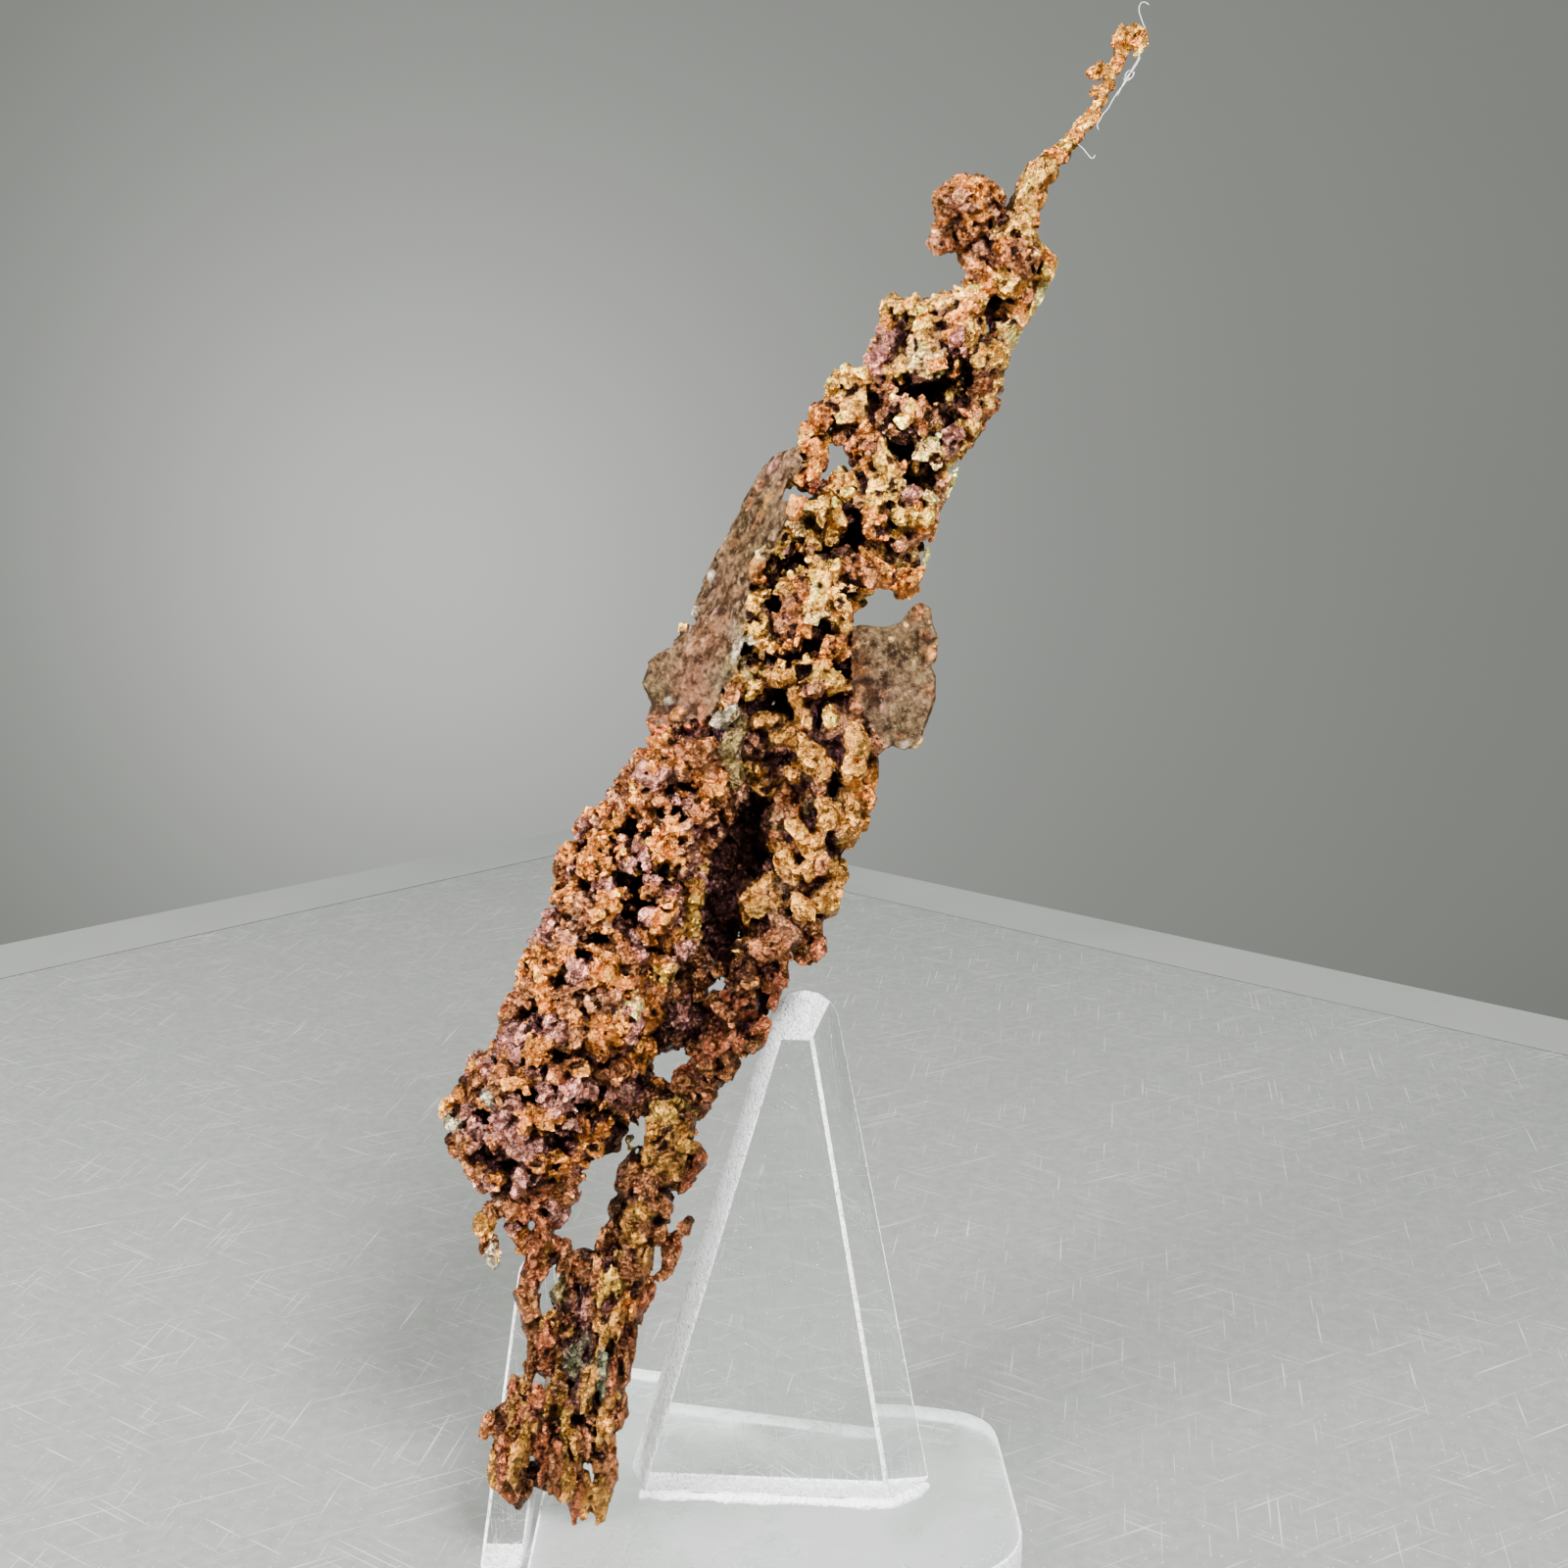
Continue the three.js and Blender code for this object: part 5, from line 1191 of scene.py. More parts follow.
# Large crystals first, well apart, then smaller ones on them: their size, and the share of
# places filled in each growth. Crystals in one small domain often lie the same way.
crystal_spacing, least_radius, most_in_pits = 1.3, 0.26, 0.3
passes = [
    (1.0, [0.8, 0.9, 0.8, 0.8, 0.9, 0.9, 0.84, 0.6]),
    (0.66, [0.55, 0.12, 0.75, 0.65, 0.4, 0.4, 0.7, 0.3]),
]
domain_width, domain_height = 4, 5
domains = {}
for scale, shares in passes:
    large = scale == 1.0
    skin = np.argwhere(np.abs(copper) < 0.5 * voxel)
    places = (skin * voxel + grid_low) @ tilt_axes
    us, vs = seen_from_front(places)
    where = district(us, vs, places[:, 2])
    at = tuple(skin.T)
    hand_laid = (owner[at] > 0) & (owner[at] < hand_set)
    spared = hand_laid & (chance.random(len(skin)) < 1.15 - 0.7 * scale)
    fit = (calm[at] < 0.3) & (owner[at] != painted_shade_tint) & ~spared
    if large:
        fit &= ~pit_zone[at] & ~hand_laid
    skin, us, vs, where, outs = skin[fit], us[fit], vs[fit], where[fit], places[fit, 2]
    sizes = usual_size[where] * scale
    if large:
        picked = spread_out(skin, np.minimum(sizes * crystal_spacing, widest_spacing))
    else:
        cell_size = (np.maximum(sizes, 0.25) * crystal_spacing * 1.2)[:, None]
        cell = np.floor(skin * voxel / cell_size).astype(np.int64)
        key = (cell @ cell_key) * len(districts) + where
        shuffled = chance.permutation(len(skin))
        picked = shuffled[np.unique(key[shuffled], return_index=True)[1]]
    picked = picked[chance.random(len(picked)) < np.array(shares)[where[picked]]]
    for index in picked:
        step, u, v, out = skin[index], us[index], vs[index], outs[index]
        growth = districts[where[index]]
        gap = -allowed[tuple(step)]
        if out > 0:
            gap = min(gap, in_sheet[tuple(step)])
        radius = min(sizes[index] * chance.uniform(0.65, 1.35), gap + 0.15)
        if growth == "tail":
            radius *= 0.75
        if pit_zone[tuple(step)]:
            radius = min(radius, most_in_pits)
        if radius < least_radius:
            continue
        domain = (u // domain_width, v // domain_height, out // domain_height)
        if domain not in domains:
            domains[domain] = random_turn(chance, 3)
        if chance.random() < 0.5:
            turn = domains[domain] @ random_turn(chance, 0.35)
        else:
            turn = random_turn(chance, 3)
        longer = chance.uniform(2.0, 4.0) if growth == "tail" else chance.uniform(1.0, 2.0)
        lean = chance.uniform(-5, 15) if growth == "tail" else chance.uniform(-60, 90)
        tint = tints[palettes[growth][chance.integers(len(palettes[growth]))]]
        if not large and owner[tuple(step)] > 0:
            tint = owner_tints[owner[tuple(step)]]
        kind = dodecahedron if growth == "middle" else forms[chance.integers(len(forms))]
        centre = step + chance.uniform(-0.8, 0.8, 3)
        grow_crystal(copper, chance, centre, radius, longer, math.radians(lean), kind, turn, tint)
    if large:
        copper = cut_crevices()
        # The floors of the pits are painted dark, as painted shade.
        owner[pit_floor & (copper < 0.5)] = painted_shade_tint
    cut_gaps()

# The thin branches of the spike join the rest here, bright, as their own skin.
owner_tints.append((0.86, 0.46, 0.11))
owner[smooth_rods < np.minimum(copper, 0.4)] = len(owner_tints) - 1
copper = np.minimum(copper, smooth_rods + 0.12)

# Narrow crystals laid along those branches.
spike_tints = ("orange", "orange", "gold", "ochre", "orange")
laid_out = 0.62
for name in smooth_branches:
    path = branches[name]
    for (u1, v1, out1, radius1), (u2, v2, out2, radius2) in zip(path, path[1:]):
        rise = math.hypot(u2 - u1, v2 - v1)
        for share in chance.uniform(0, 1, max(3, int(rise * (4 + 5 * radius1)))):
            around, radius = chance.uniform(0, 6.28), radius1 + share * (radius2 - radius1)
            across = math.cos(around) * radius * laid_out
            u = u1 + share * (u2 - u1) + across * (v2 - v1) / rise
            v = v1 + share * (v2 - v1) - across * (u2 - u1) / rise
            out = out1 + share * (out2 - out1) + math.sin(around) * radius * laid_out
            lean = math.atan2(u2 - u1, v2 - v1) + chance.uniform(-0.5, 0.5)
            tint = tints[spike_tints[chance.integers(len(spike_tints))]]
            size, longer = 0.22 + 0.3 * radius * chance.uniform(0.6, 1.2), chance.uniform(1.2, 2.4)
            kind, turn = forms[chance.integers(len(forms))], random_turn(chance, 3)
            grow_crystal(copper, chance, to_grid(u, v, out), size, longer, lean, kind, turn, tint)

# The hollow is painted dark as painted shade, and everything is trimmed to the ragged outline.
owner[(in_cavity < 0.15) & (out_at < 1.2)] = painted_shade_tint
copper = np.maximum(copper, allowed - 0.22 + ragged)
copper = np.maximum(copper, -(cavity + 0.7))

# A thin wall of copper, painted dark as painted shade, closes the places where pits and gaps left
# the body open.
lining_half, lining_reach = 0.4, 1.2
solid = np.zeros(chart_u.shape, dtype=np.float32)
depth_sum = solid.copy()
for layer, out in enumerate(out_at):
    x, y, _ = np.moveaxis(to_grid(chart_u, chart_v, out), -1, 0).round().astype(int)
    met_x, met_y = np.clip(x, 0, grid_shape[0] - 1), np.clip(y, 0, grid_shape[1] - 1)
    filled = (met_x == x) & (met_y == y) & (copper[met_x, met_y, layer] < 0)
    solid += filled
    depth_sum += filled * out
open_place = (solid < 2) & (outline_chart < -0.5)


def blurred_chart(chart, sigma):
    """A flat chart softened by a Gaussian of the given width in millimetres."""
    return blurred(chart[:, :, None], sigma * voxel / chart_step)[:, :, 0]


usual_out = blurred_chart(depth_sum, lining_reach) / (blurred_chart(solid, lining_reach) + 1e-3)
cover = blurred_chart(open_place.astype(np.float32), 0.3)
lining = np.abs(out_at - through_depth(usual_out)) - lining_half
lining = np.maximum(lining, 2 * (0.12 - through_depth(cover)))
lining = np.maximum(lining, allowed + 0.25)
owner[lining < np.minimum(copper, 0.2)] = painted_shade_tint
copper = np.minimum(copper, lining)
for side in range(3):
    for end in (0, -1):
        edge_layer = [slice(None)] * 3
        edge_layer[side] = end
        copper[tuple(edge_layer)] = 1

grown = openvdb.FloatGrid(1.0)
grown.copyFromArray(np.clip(copper, -1, 1))
points, _, quads = grown.convertToPolygons(isovalue=0.0, adaptivity=0.0)

# Only the largest connected body stays: loose specks are dropped.
quads = quads.astype(np.int64)
joins = np.concatenate([quads[:, [0, 1]], quads[:, [1, 2]], quads[:, [2, 3]], quads[:, [3, 0]]])
label = np.arange(len(points))
while True:
    lowest = label.copy()
    np.minimum.at(lowest, joins[:, 0], label[joins[:, 1]])
    np.minimum.at(lowest, joins[:, 1], label[joins[:, 0]])
    lowest = lowest[lowest]
    if np.array_equal(lowest, label):
        break
    label = lowest
bodies, counts = np.unique(label, return_counts=True)
kept = label == bodies[counts.argmax()]
quads = quads[kept[quads[:, 0]]]


def read_field(field, at):
    """Reads a grid field between its points."""
    base = np.clip(np.floor(at).astype(int), 0, np.array(field.shape) - 2)
    part = (at - base).astype(np.float32)
    total = np.zeros(len(at), dtype=np.float32)
    for corner in np.ndindex(2, 2, 2):
        weight = np.prod(np.abs(1 - np.array(corner) - part), axis=1)
        total += weight * field[tuple((base + corner).T)]
    return total


# What the paint reads at each point of the skin: how proud of the skin around it the point stands,
# how deep it lies in a hollow, how sharp its ridge is, and whether the skin there is calm.
clipped = np.clip(copper, -1.5, 1.5)
skin_values = {
    "proud": read_field(blurred(clipped, 0.9), points),
    "deep": read_field(blurred(clipped, 2.2), points),
    "sharp": read_field(blurred(np.clip(copper, -1, 1), 0.3), points),
    "calm": read_field(calm, points),
}

# Each crystal has one tint, in a shade of its own, and each growth is brighter or darker.
shade_spread = 0.2
growth_light = np.array([1.15, 1.05, 1.1, 0.9, 0.5, 0.68, 1.0, 0.8])
bare_calm_tint, calm_dulling = [0.19, 0.125, 0.07], (0.5, 0.4, 0.29)
nearest = np.clip(np.round(points).astype(int), 0, grid_shape - 1)
skin_owner = owner[tuple(nearest.T)]
shades = np.random.default_rng(tint_seed).normal(1, shade_spread, len(owner_tints))[skin_owner]
skin_tint = np.array(owner_tints)[skin_owner] * shades[:, None]
layout_points = (points * voxel + grid_low) @ tilt_axes
skin_u, skin_v = seen_from_front(layout_points)
skin_growth = district(skin_u, skin_v + 4 * (shades - 1), layout_points[:, 2])
skin_tint = skin_tint * growth_light[skin_growth][:, None]
calm_tint = np.tile(bare_calm_tint, (len(points), 1))
for u, v, spread, tone in calm_patches:
    share = np.exp(-((skin_u - u) ** 2 + (skin_v - v) ** 2) / spread**2)[:, None]
    calm_tint += share * (np.array(tone) * calm_dulling - calm_tint)
laid_on = (skin_owner > 0) & (skin_owner < hand_set)
calm_share = np.clip((skin_values["calm"] - 0.65) / 0.25, 0, 1)
skin_tint += np.where(laid_on, 0.35, 1.0)[:, None] * calm_share[:, None] * (calm_tint - skin_tint)
skin_tint = np.concatenate([np.clip(skin_tint, 0, 1), np.ones((len(points), 1))], axis=1)

# Crystal edges, rounded off a little by the grid, are drawn sharp again.
sharpening_strength, most_sharpening = 0.8, 0.42
total, links_at = np.zeros((len(points), 3)), np.zeros(len(points), dtype=int)
for mine, other in ((0, 1), (1, 0)):
    links_at += np.bincount(joins[:, mine], minlength=len(points))
    for side in range(3):
        beside = points[joins[:, other], side]
        total[:, side] += np.bincount(joins[:, mine], weights=beside, minlength=len(points))
strength = (sharpening_strength * (1 - calm_share))[:, None]
sharpening = (points - total / np.maximum(links_at, 1)[:, None]) * strength
reach = np.linalg.norm(sharpening, axis=1)[:, None] + 1e-9
points = points + sharpening * np.minimum(1, most_sharpening / reach)
world_points = ((points * voxel + grid_low) @ grid_axes / 1000 + copper_foot).astype(np.float32)

copper_skin = bpy.data.materials.new("native_copper_skin")
copper_skin.use_nodes = True
skin_tree = copper_skin.node_tree
links = skin_tree.links
shader = skin_tree.nodes["Principled BSDF"]


def mask(name, low, high):
    """A soft step in one of the skin's values, from 0 at the low end to 1 at the high one."""
    value = node(skin_tree, "Attribute", attribute_name=name).outputs["Fac"]
    ends = {"Value": value, "From Min": low, "From Max": high}
    return node(skin_tree, "MapRange", ends, interpolation_type="SMOOTHSTEP").outputs["Result"]


def blend(share, first, second, kind="MIX"):
    """One tone going over into another by a share. Each may be a value or a socket."""
    sides = {"Factor": share, "A": first, "B": second}
    return node(skin_tree, "Mix", sides, data_type="RGBA", blend_type=kind).outputs["Result"]


def scaled(tone, red, green, blue):
    """A tone with its three parts multiplied."""
    return blend(1.0, tone, (red, green, blue, 1), "MULTIPLY")


def spread_values(value, low, high, least=0.0, most=1.0):
    """A value stretched from one range to another."""
    ends = {"Value": value, "From Min": low, "From Max": high, "To Min": least, "To Max": most}
    return node(skin_tree, "MapRange", ends).outputs["Result"]


def raised(height, depth, strength, under=None):
    """Fine relief of a depth in metres, laid over the relief under it."""
    bump = {"Distance": depth, "Strength": strength, "Height": height}
    if under is not None:
        bump["Normal"] = under
    return node(skin_tree, "Bump", bump).outputs["Normal"]


def vector_sum(kind, *parts):
    """A sum of vectors: each is a value or a socket."""
    return node(skin_tree, "VectorMath", enumerate(parts), operation=kind).outputs["Vector"]


def tilted(random_tone, amount, under):
    """Tips the surface a different way in each crystal cell, so that each catches its own light."""
    lean = vector_sum("MULTIPLY_ADD", random_tone, (amount,) * 3, (-amount / 2,) * 3)
    return vector_sum("NORMALIZE", vector_sum("ADD", lean, under))


def crystal_cells(metric, per_metre, vector):
    """Angular cells, each with a colour and a relief of its own."""
    return node(skin_tree, "TexVoronoi", {"Scale": per_metre, "Vector": vector}, distance=metric)


def fine_noise(per_metre, roughness):
    """Noise in the object's own space."""
    inputs = {"Vector": here, "Scale": per_metre, "Detail": 6, "Roughness": roughness}
    return node(skin_tree, "TexNoise", inputs).outputs


# Angular blocks and chips, turned and warped so that their rows don't show.
here = node(skin_tree, "TexCoord").outputs["Object"]
slant = node(skin_tree, "Mapping", {"Vector": here, "Rotation": (0.6, 0.4, 0.9)}).outputs["Vector"]
grain = fine_noise(2600, 0.65)
stain = fine_noise(900, 0.7)
warp = vector_sum("MULTIPLY_ADD", grain["Color"], (0.0004,) * 3, slant)
blocks = crystal_cells("CHEBYCHEV", 2100, warp).outputs
chips = crystal_cells("MANHATTAN", 1150, warp).outputs
block_split = node(skin_tree, "SeparateColor", {"Color": blocks["Color"]}).outputs
chip_split = node(skin_tree, "SeparateColor", {"Color": chips["Color"]}).outputs

is_calm = mask("calm", 0.7, 0.95)
skin_normal = raised(chips["Distance"], 0.00034, 1.0)
skin_normal = raised(blocks["Distance"], 0.00026, 1.0, skin_normal)
skin_normal = raised(grain["Fac"], 0.0003, 0.5, skin_normal)
skin_normal = tilted(chips["Color"], 0.7, skin_normal)
skin_normal = tilted(blocks["Color"], 0.8, skin_normal)
calm_normal = raised(blocks["Distance"], 0.00022, 1.0)
calm_normal = raised(grain["Fac"], 0.0009, 1.0, calm_normal)
normal = node(
    skin_tree, "Mix", {"Factor": is_calm, 4: skin_normal, 5: calm_normal}, data_type="VECTOR"
)
links.new(normal.outputs[1], shader.inputs["Normal"])

# Crystalline skin: dull facets at random and bright chips as a painted glint, some rosier and some
# yellower.
rosy, yellowish = (1.08, 0.94, 0.95, 1), (1.0, 1.03, 0.84, 1)
tint = node(skin_tree, "Attribute", attribute_name="tint").outputs["Color"]
skin_tone = blend(block_split["Red"], scaled(tint, 0.6, 0.54, 0.5), tint)
# Chips lit up at random, as a painted glint.
painted_glint = spread_values(chip_split["Red"], 0.5, 0.85)
skin_tone = blend(painted_glint, skin_tone, scaled(skin_tone, 1.85, 1.8, 1.6))
warm = blend(chip_split["Green"], rosy, yellowish)
skin_tone = blend(1.0, skin_tone, warm, "MULTIPLY")

# Calm skin: tarnished in patches, with a few bright specks, partly bare metal and partly a painted
# sparkle.
speck_and_sparkle_tone = (0.66, 0.5, 0.32, 1)
tarnish = spread_values(stain["Fac"], 0.42, 0.58)
calm_tone = blend(tarnish, scaled(tint, 0.26, 0.21, 0.17), scaled(tint, 1.5, 1.46, 1.4))
specks = spread_values(grain["Fac"], 0.62, 0.74)
calm_tone = blend(specks, calm_tone, speck_and_sparkle_tone)

# Both: dirt in the grain, ridges lightened as wear and as a painted highlight, and painted shade in
# the hollows.
painted_hollow_shade, painted_deep_shade = (0.035, 0.012, 0.013, 1), (0.014, 0.005, 0.005, 1)
tone = blend(is_calm, skin_tone, calm_tone)
clean = spread_values(grain["Fac"], 0.33, 0.6)
tone = blend(clean, scaled(tone, 0.55, 0.48, 0.44), tone)
# Ridges lightened, partly as worn metal and partly as a painted highlight.
tone = blend(mask("sharp", 0.03, 0.2), tone, scaled(tone, 1.8, 1.8, 1.75))
# Painted shade in the hollows and in the deep concave places.
tone = blend(mask("proud", 0.26, -0.14), tone, painted_hollow_shade)
tone = blend(mask("deep", 0.16, -0.2), tone, painted_deep_shade)
links.new(tone, shader.inputs["Base Color"])
links.new(spread_values(is_calm, 0.0, 1.0, 0.94, 0.86), shader.inputs["Metallic"])
crystal_rough = spread_values(grain["Fac"], 0.3, 0.7, 0.16, 0.42)
calm_rough = spread_values(grain["Fac"], 0.3, 0.7, 0.3, 0.6)
rough = node(skin_tree, "Mix", {"Factor": is_calm, "A": crystal_rough, "B": calm_rough})
links.new(rough.outputs["Result"], shader.inputs["Roughness"])

# The skin is parted across its length into stretches with about the same number of faces.
stretch_count = 6
quad_along = points[quads[:, 0], 1]
order = np.sort(quad_along)
cuts = [order[int(len(order) * share / stretch_count)] for share in range(stretch_count)] + [1e9]
for number in range(stretch_count):
    mine = quads[(quad_along >= cuts[number]) & (quad_along < cuts[number + 1])]
    used, corner = np.unique(mine, return_inverse=True)
    corner = corner.reshape(-1, 4)[:, ::-1]
    mesh = bpy.data.meshes.new(f"copper_stretch_{number + 1}")
    mesh.vertices.add(len(used))
    mesh.vertices.foreach_set("co", world_points[used].ravel())
    mesh.loops.add(corner.size)
    mesh.loops.foreach_set("vertex_index", corner.ravel())
    mesh.polygons.add(len(corner))
    mesh.polygons.foreach_set("loop_start", np.arange(0, corner.size, 4))
    mesh.polygons.foreach_set("use_smooth", calm_share[mine].max(axis=1) > 0.5)
    mesh.update(calc_edges=True)
    for name, values in skin_values.items():
        attribute = mesh.attributes.new(name, "FLOAT", "POINT")
        attribute.data.foreach_set("value", values[used].astype(np.float32))
    attribute = mesh.attributes.new("tint", "FLOAT_COLOR", "POINT")
    attribute.data.foreach_set("color", skin_tint[used].astype(np.float32).ravel())
    mesh.materials.append(copper_skin)
    stretch = placed(mesh.name, mesh)
    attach(stretch, "root")
    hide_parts("native_copper")


# ---- Lint fibres ---------------------------------------------------------------------------
# Fine white fibres of dust caught on the spike, each about a twentieth of a millimetre across.

lint_paths = {
    "lint_top": [
        (44.82, 118.84), (44.63, 119), (44.4, 119.06), (44.19, 118.96), (44.06, 118.69),
        (44.05, 118.3), (44.17, 117.92), (44.32, 117.46), (44.51, 116.99), (44.44, 116.61),
        (44.32, 116.15),
    ],
    "lint_side": [
        (44.09, 115.07), (43.94, 114.53), (43.63, 114.03), (43.32, 113.45), (42.94, 112.73),
        (42.4, 112.03), (41.94, 111.33), (41.63, 110.73), (41.17, 110.22), (40.94, 109.73),
        (40.74, 109.45), (40.86, 109.03),
    ],
    "lint_side_b": [
        (44.17, 114.76), (43.63, 113.84), (43.09, 113.22), (42.78, 112.61), (42.32, 111.68),
    ],
    "lint_clump": [
        (42.78, 113.07), (43.17, 112.91), (43.63, 113.38), (43.25, 113.68), (42.94, 113.22),
        (43.4, 113.07), (43.71, 113.61),
    ],
    "lint_small": [
        (39.24, 107.91), (39.7, 107.49), (40.01, 107.1), (40.28, 106.81), (40.5, 106.86),
        (40.57, 107.06),
    ],
}
lint_radius, lint_out = 0.021, 0.5
lint_sides, steps_per_span, lint_end_share = 6, 5, 0.3

lint_white, _ = mottled("lint_white", 0.8, 3000, (0.55, 0.56, 0.56), (0.95, 0.95, 0.93))


def tube_faces(ring_count, sides):
    """The faces of a closed tube whose points go round in rings."""
    faces = []
    for ring in range(ring_count - 1):
        for corner in range(sides):
            first, second = ring * sides + corner, ring * sides + (corner + 1) % sides
            faces.append((first, second, second + sides, first + sides))
    faces.append(tuple(range(sides))[::-1])
    faces.append(tuple(range((ring_count - 1) * sides, ring_count * sides)))
    return faces


def unit_rows(rows):
    """Each row of an array, brought to a length of one."""
    return rows / (np.linalg.norm(rows, axis=1)[:, None] + 1e-9)


for name, path in lint_paths.items():
    spots = np.array([(to_grid(u, v, lint_out) * voxel + grid_low) @ grid_axes for u, v in path])
    padded = np.concatenate([2 * spots[:1] - spots[1:2], spots, 2 * spots[-1:] - spots[-2:-1]])
    line = []
    for p0, p1, p2, p3 in zip(padded, padded[1:], padded[2:], padded[3:]):
        bend, twist = 2 * p0 - 5 * p1 + 4 * p2 - p3, 3 * p1 - p0 - 3 * p2 + p3
        for share in np.arange(steps_per_span) / steps_per_span:
            place_on = 2 * p1 + (p2 - p0) * share + bend * share**2 + twist * share**3
            line.append(0.5 * place_on)
    line = np.array(line + [spots[-1]])
    ahead = unit_rows(np.gradient(line, axis=0))
    side = unit_rows(np.cross(ahead, out_step))
    other = np.cross(ahead, side)
    thin = np.ones(len(line))
    thin[0] = thin[-1] = lint_end_share
    rings = []
    for corner in range(lint_sides):
        turn = 2 * math.pi * corner / lint_sides
        sideways = math.cos(turn) * side + math.sin(turn) * other
        rings.append(line + sideways * (lint_radius * thin)[:, None])
    rings = np.stack(rings, axis=1).reshape(-1, 3) / 1000 + copper_foot
    lint_mesh = bpy.data.meshes.new(name)
    lint_mesh.from_pydata(rings.tolist(), [], tube_faces(len(line), lint_sides))
    lint_mesh.materials.append(lint_white)
    lint_piece = placed(name, lint_mesh)
    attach(lint_piece, "root")
    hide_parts("native_copper")


# ---- Easel: clear acrylic, sawn edges -------------------------------------------------------
# A base and two uprights cut from clear acrylic sheet. The broad faces are clear, with scratches
# and faint smears from handling. The sawn edges are frosted white, with the marks of the saw.

support_lean, support_turn, prong_lean = math.radians(14), math.radians(-4), math.radians(25)
sheet_directions = {
    "easel_base": (0, 0, 1),
    "easel_back_support": (
        math.sin(support_turn) * math.cos(support_lean),
        -math.cos(support_turn) * math.cos(support_lean),
        math.sin(support_lean),
    ),
    "easel_front_prong": (0, -math.cos(prong_lean), math.sin(prong_lean)),
}
arris, crease_angle, broad_face_share = 0.00022, 0.6, 0.97
almost_white = (0.99, 1.0, 0.99)


def acrylic(name, clear, least_rough, most_rough, spots=160, dark=(0.93, 0.95, 0.94)):
    """Acrylic that lets shadow rays through, its tone and roughness wandering together."""
    material = bpy.data.materials.new(name)
    material.use_nodes = True
    tree = material.node_tree
    shader = tree.nodes["Principled BSDF"]
    shader.inputs["IOR"].default_value = 1.49
    shader.inputs["Transmission Weight"].default_value = clear
    tone = mottled_tones(material, spots, dark, almost_white)
    tree.links.new(tone, shader.inputs["Base Color"])
    ends = {"From Min": dark[0] + 0.01, "From Max": almost_white[0]}
    ends.update({"Value": tone, "To Min": least_rough, "To Max": most_rough})
    rough = node(tree, "MapRange", ends).outputs["Result"]
    tree.links.new(rough, shader.inputs["Roughness"])
    path = node(tree, "LightPath").outputs
    soft_rays = {0: path["Is Shadow Ray"], 1: path["Is Diffuse Ray"]}
    soft_ray = node(tree, "Math", soft_rays, operation="MAXIMUM").outputs["Value"]
    open_way = node(tree, "BsdfTransparent", {"Color": (0.95, 0.96, 0.955, 1)}).outputs["BSDF"]
    either_way = node(tree, "MixShader", {"Fac": soft_ray, 1: shader.outputs["BSDF"], 2: open_way})
    tree.links.new(either_way.outputs["Shader"], tree.nodes["Material Output"].inputs["Surface"])
    return material


def scuff(material, marks, roughness, depth):
    """Scratches on acrylic: rougher along each mark, and cut a little way in, in metres."""
    tree = material.node_tree
    shader = tree.nodes["Principled BSDF"]
    rough = shader.inputs["Roughness"].links[0].from_socket
    cut = {"Distance": depth}
    for turn, size, least in marks:
        mark = scratches_in(material, turn, size, least)
        rough = node(tree, "Mix", {"Factor": mark, "A": rough, "B": roughness}).outputs["Result"]
        cut["Height"] = mark
        cut["Normal"] = node(tree, "Bump", cut, invert=True).outputs["Normal"]
    tree.links.new(rough, shader.inputs["Roughness"])
    tree.links.new(cut["Normal"], shader.inputs["Normal"])


clear_face = acrylic("clear_acrylic_face", 0.99, 0.0, 0.04)
upright_scratches = [
    ((0, 0.5, 0), (0.006, 0.02, 0.00012), 0.69),
    ((0, 1.45, 0), (0.009, 0.02, 0.0001), 0.67),
    ((0, -0.4, 0), (0.003, 0.02, 0.0001), 0.7),
]
scuff(clear_face, upright_scratches, 0.6, 0.00003)
base_face = acrylic("scuffed_acrylic_base", 0.93, 0.03, 0.5, 220, (0.84, 0.88, 0.87))
base_scratches = [
    ((0, 0, 0.5), (0.008, 0.0002, 0.02), 0.66),
    ((0, 0, -0.35), (0.006, 0.00016, 0.02), 0.67),
    ((0, 0, 1.3), (0.005, 0.00015, 0.02), 0.68),
]
scuff(base_face, base_scratches, 0.6, 0.00004)
sawn_face = acrylic("sawn_acrylic_edge", 0.05, 0.45, 0.8, 1400, (0.72, 0.75, 0.74))
saw_marks = [
    ((0, 1.35, 0), (0.006, 0.0004, 0.0002), 0.5),
    ((0.2, 0.1, 0), (0.0004, 0.0005, 0.0003), 0.52),
]
scuff(sawn_face, saw_marks, 0.9, 0.00012)

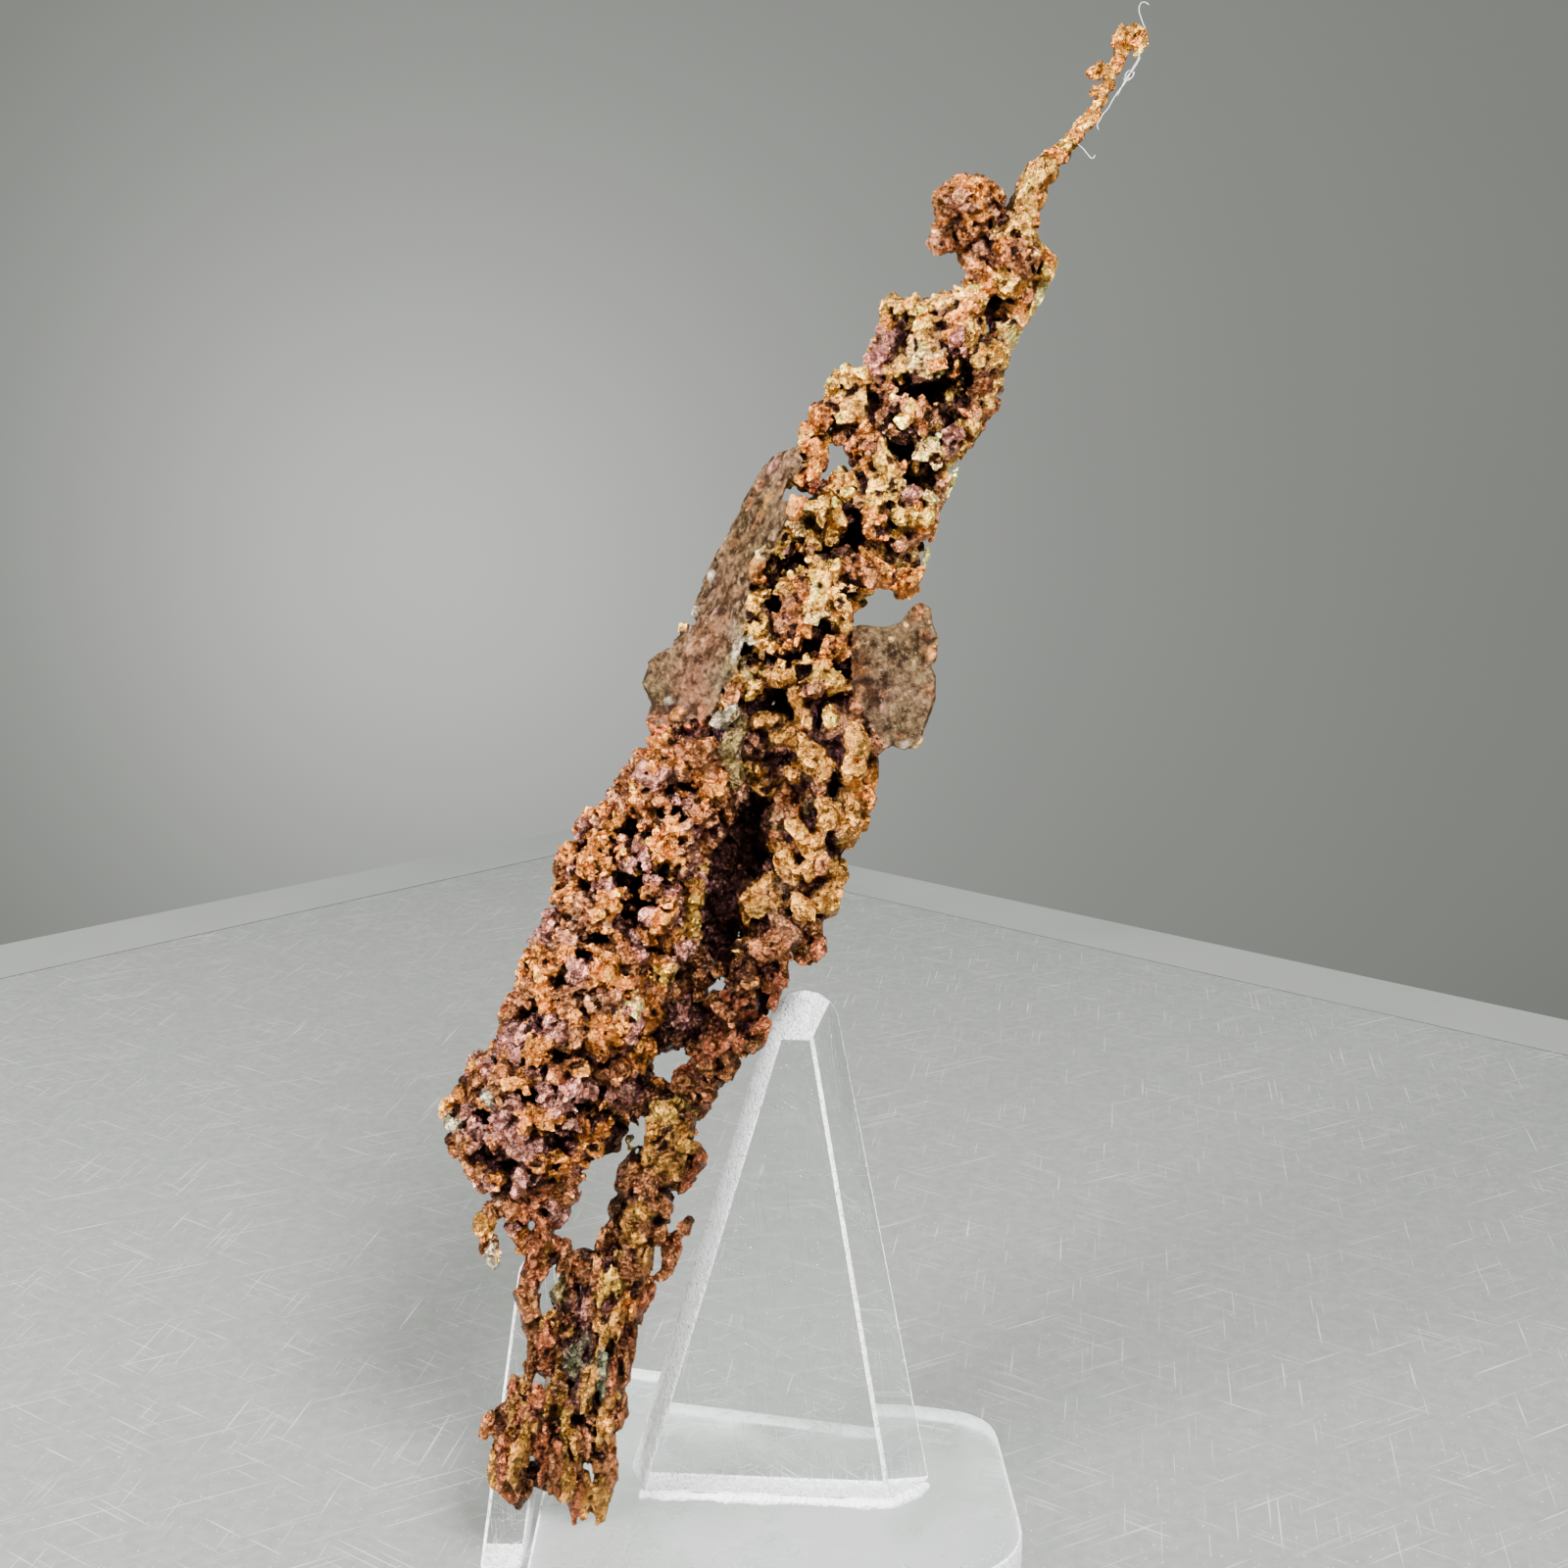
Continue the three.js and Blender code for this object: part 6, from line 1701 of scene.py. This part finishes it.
for node_name, direction in sheet_directions.items():
    sheet_form = bmesh.new()
    sheet_form.from_mesh(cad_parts[node_name].data)
    bmesh.ops.remove_doubles(sheet_form, verts=sheet_form.verts, dist=1e-6)
    bmesh.ops.dissolve_limit(
        sheet_form, angle_limit=0.01, verts=sheet_form.verts, edges=sheet_form.edges
    )
    creases = [edge for edge in sheet_form.edges if edge.calc_face_angle(0) > crease_angle]
    bmesh.ops.bevel(
        sheet_form, geom=creases, offset=arris, segments=2, profile=0.5, affect="EDGES"
    )
    for face in sheet_form.faces:
        lined_up = abs(face.normal.dot(Vector(direction)))
        polished = node_name == "easel_back_support" and face.normal.x > 0.6
        face.material_index = 0 if lined_up > broad_face_share or polished else 1
        face.smooth = True
    sheet_mesh = bpy.data.meshes.new(node_name + "_sheet")
    sheet_form.to_mesh(sheet_mesh)
    sheet_form.free()
    sheet_mesh.set_sharp_from_angle(angle=math.radians(32))
    sheet_mesh.materials.append(base_face if node_name == "easel_base" else clear_face)
    sheet_mesh.materials.append(sawn_face)
    sheet_piece = placed(node_name + "_sheet", sheet_mesh)
    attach(sheet_piece, "root")
    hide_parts(node_name)


# ---- Cement: white bead along the support's foot -----------------------------------------------
# Acrylic cement that has set with small bubbles, along the seam between the back support and the
# base. It is laid by hand, so it wanders and swells.

bead_path = [
    (-12.2, -1.5), (-8, -1.75), (-3, -2.1), (2, -2.45), (6, -2.75), (8.1, -2.75), (9.8, -1.4),
    (11.2, 0.1),
]
bead_height, bead_radius, bead_sides, bead_step = 3.35, 0.42, 12, 0.22
bead_seed, swell_step, bead_end_share = 31, 0.9, 0.3
upward = np.array([0, 0, 1])

cement = acrylic("set_cement", 0.3, 0.4, 0.8)
tree = cement.node_tree
here = node(tree, "TexCoord").outputs["Object"]
bubbles = node(tree, "TexVoronoi", {"Vector": here, "Scale": 2600}).outputs["Distance"]
bumps = node(tree, "Bump", {"Height": bubbles, "Distance": 0.0002}).outputs["Normal"]
tree.links.new(bumps, tree.nodes["Principled BSDF"].inputs["Normal"])

corners = np.array(bead_path)
lengths = np.concatenate([[0], np.cumsum(np.linalg.norm(np.diff(corners, axis=0), axis=1))])
steps_at = np.arange(0, lengths[-1], bead_step)
bead_line = np.stack([np.interp(steps_at, lengths, corners[:, k]) for k in range(2)], axis=1)
bead_line = np.concatenate([bead_line, np.full((len(bead_line), 1), bead_height)], axis=1)
bead_chance = np.random.default_rng(bead_seed)
swells_at = np.arange(0, 40, swell_step)
swell = np.interp(steps_at, swells_at, bead_chance.uniform(0.7, 1.35, len(swells_at)))
swell[0] = swell[-1] = bead_end_share
beside = np.cross(unit_rows(np.gradient(bead_line, axis=0)), upward)
rings = []
for corner in range(bead_sides):
    turn = 2 * math.pi * corner / bead_sides
    reach = (bead_radius * swell * bead_chance.uniform(0.85, 1.15, len(swell)))[:, None]
    rings.append(bead_line + (math.cos(turn) * beside + math.sin(turn) * upward) * reach)
bead_points = np.stack(rings, axis=1).reshape(-1, 3) / 1000
bead_faces = [face[::-1] for face in tube_faces(len(bead_line), bead_sides)]
bead_mesh = bpy.data.meshes.new("cement_bead")
bead_mesh.from_pydata(bead_points.tolist(), [], bead_faces)
bead_mesh.polygons.foreach_set("use_smooth", [True] * len(bead_faces))
bead_mesh.materials.append(cement)
bead = placed("cement_bead", bead_mesh)
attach(bead, "root")
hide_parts("easel_back_support")
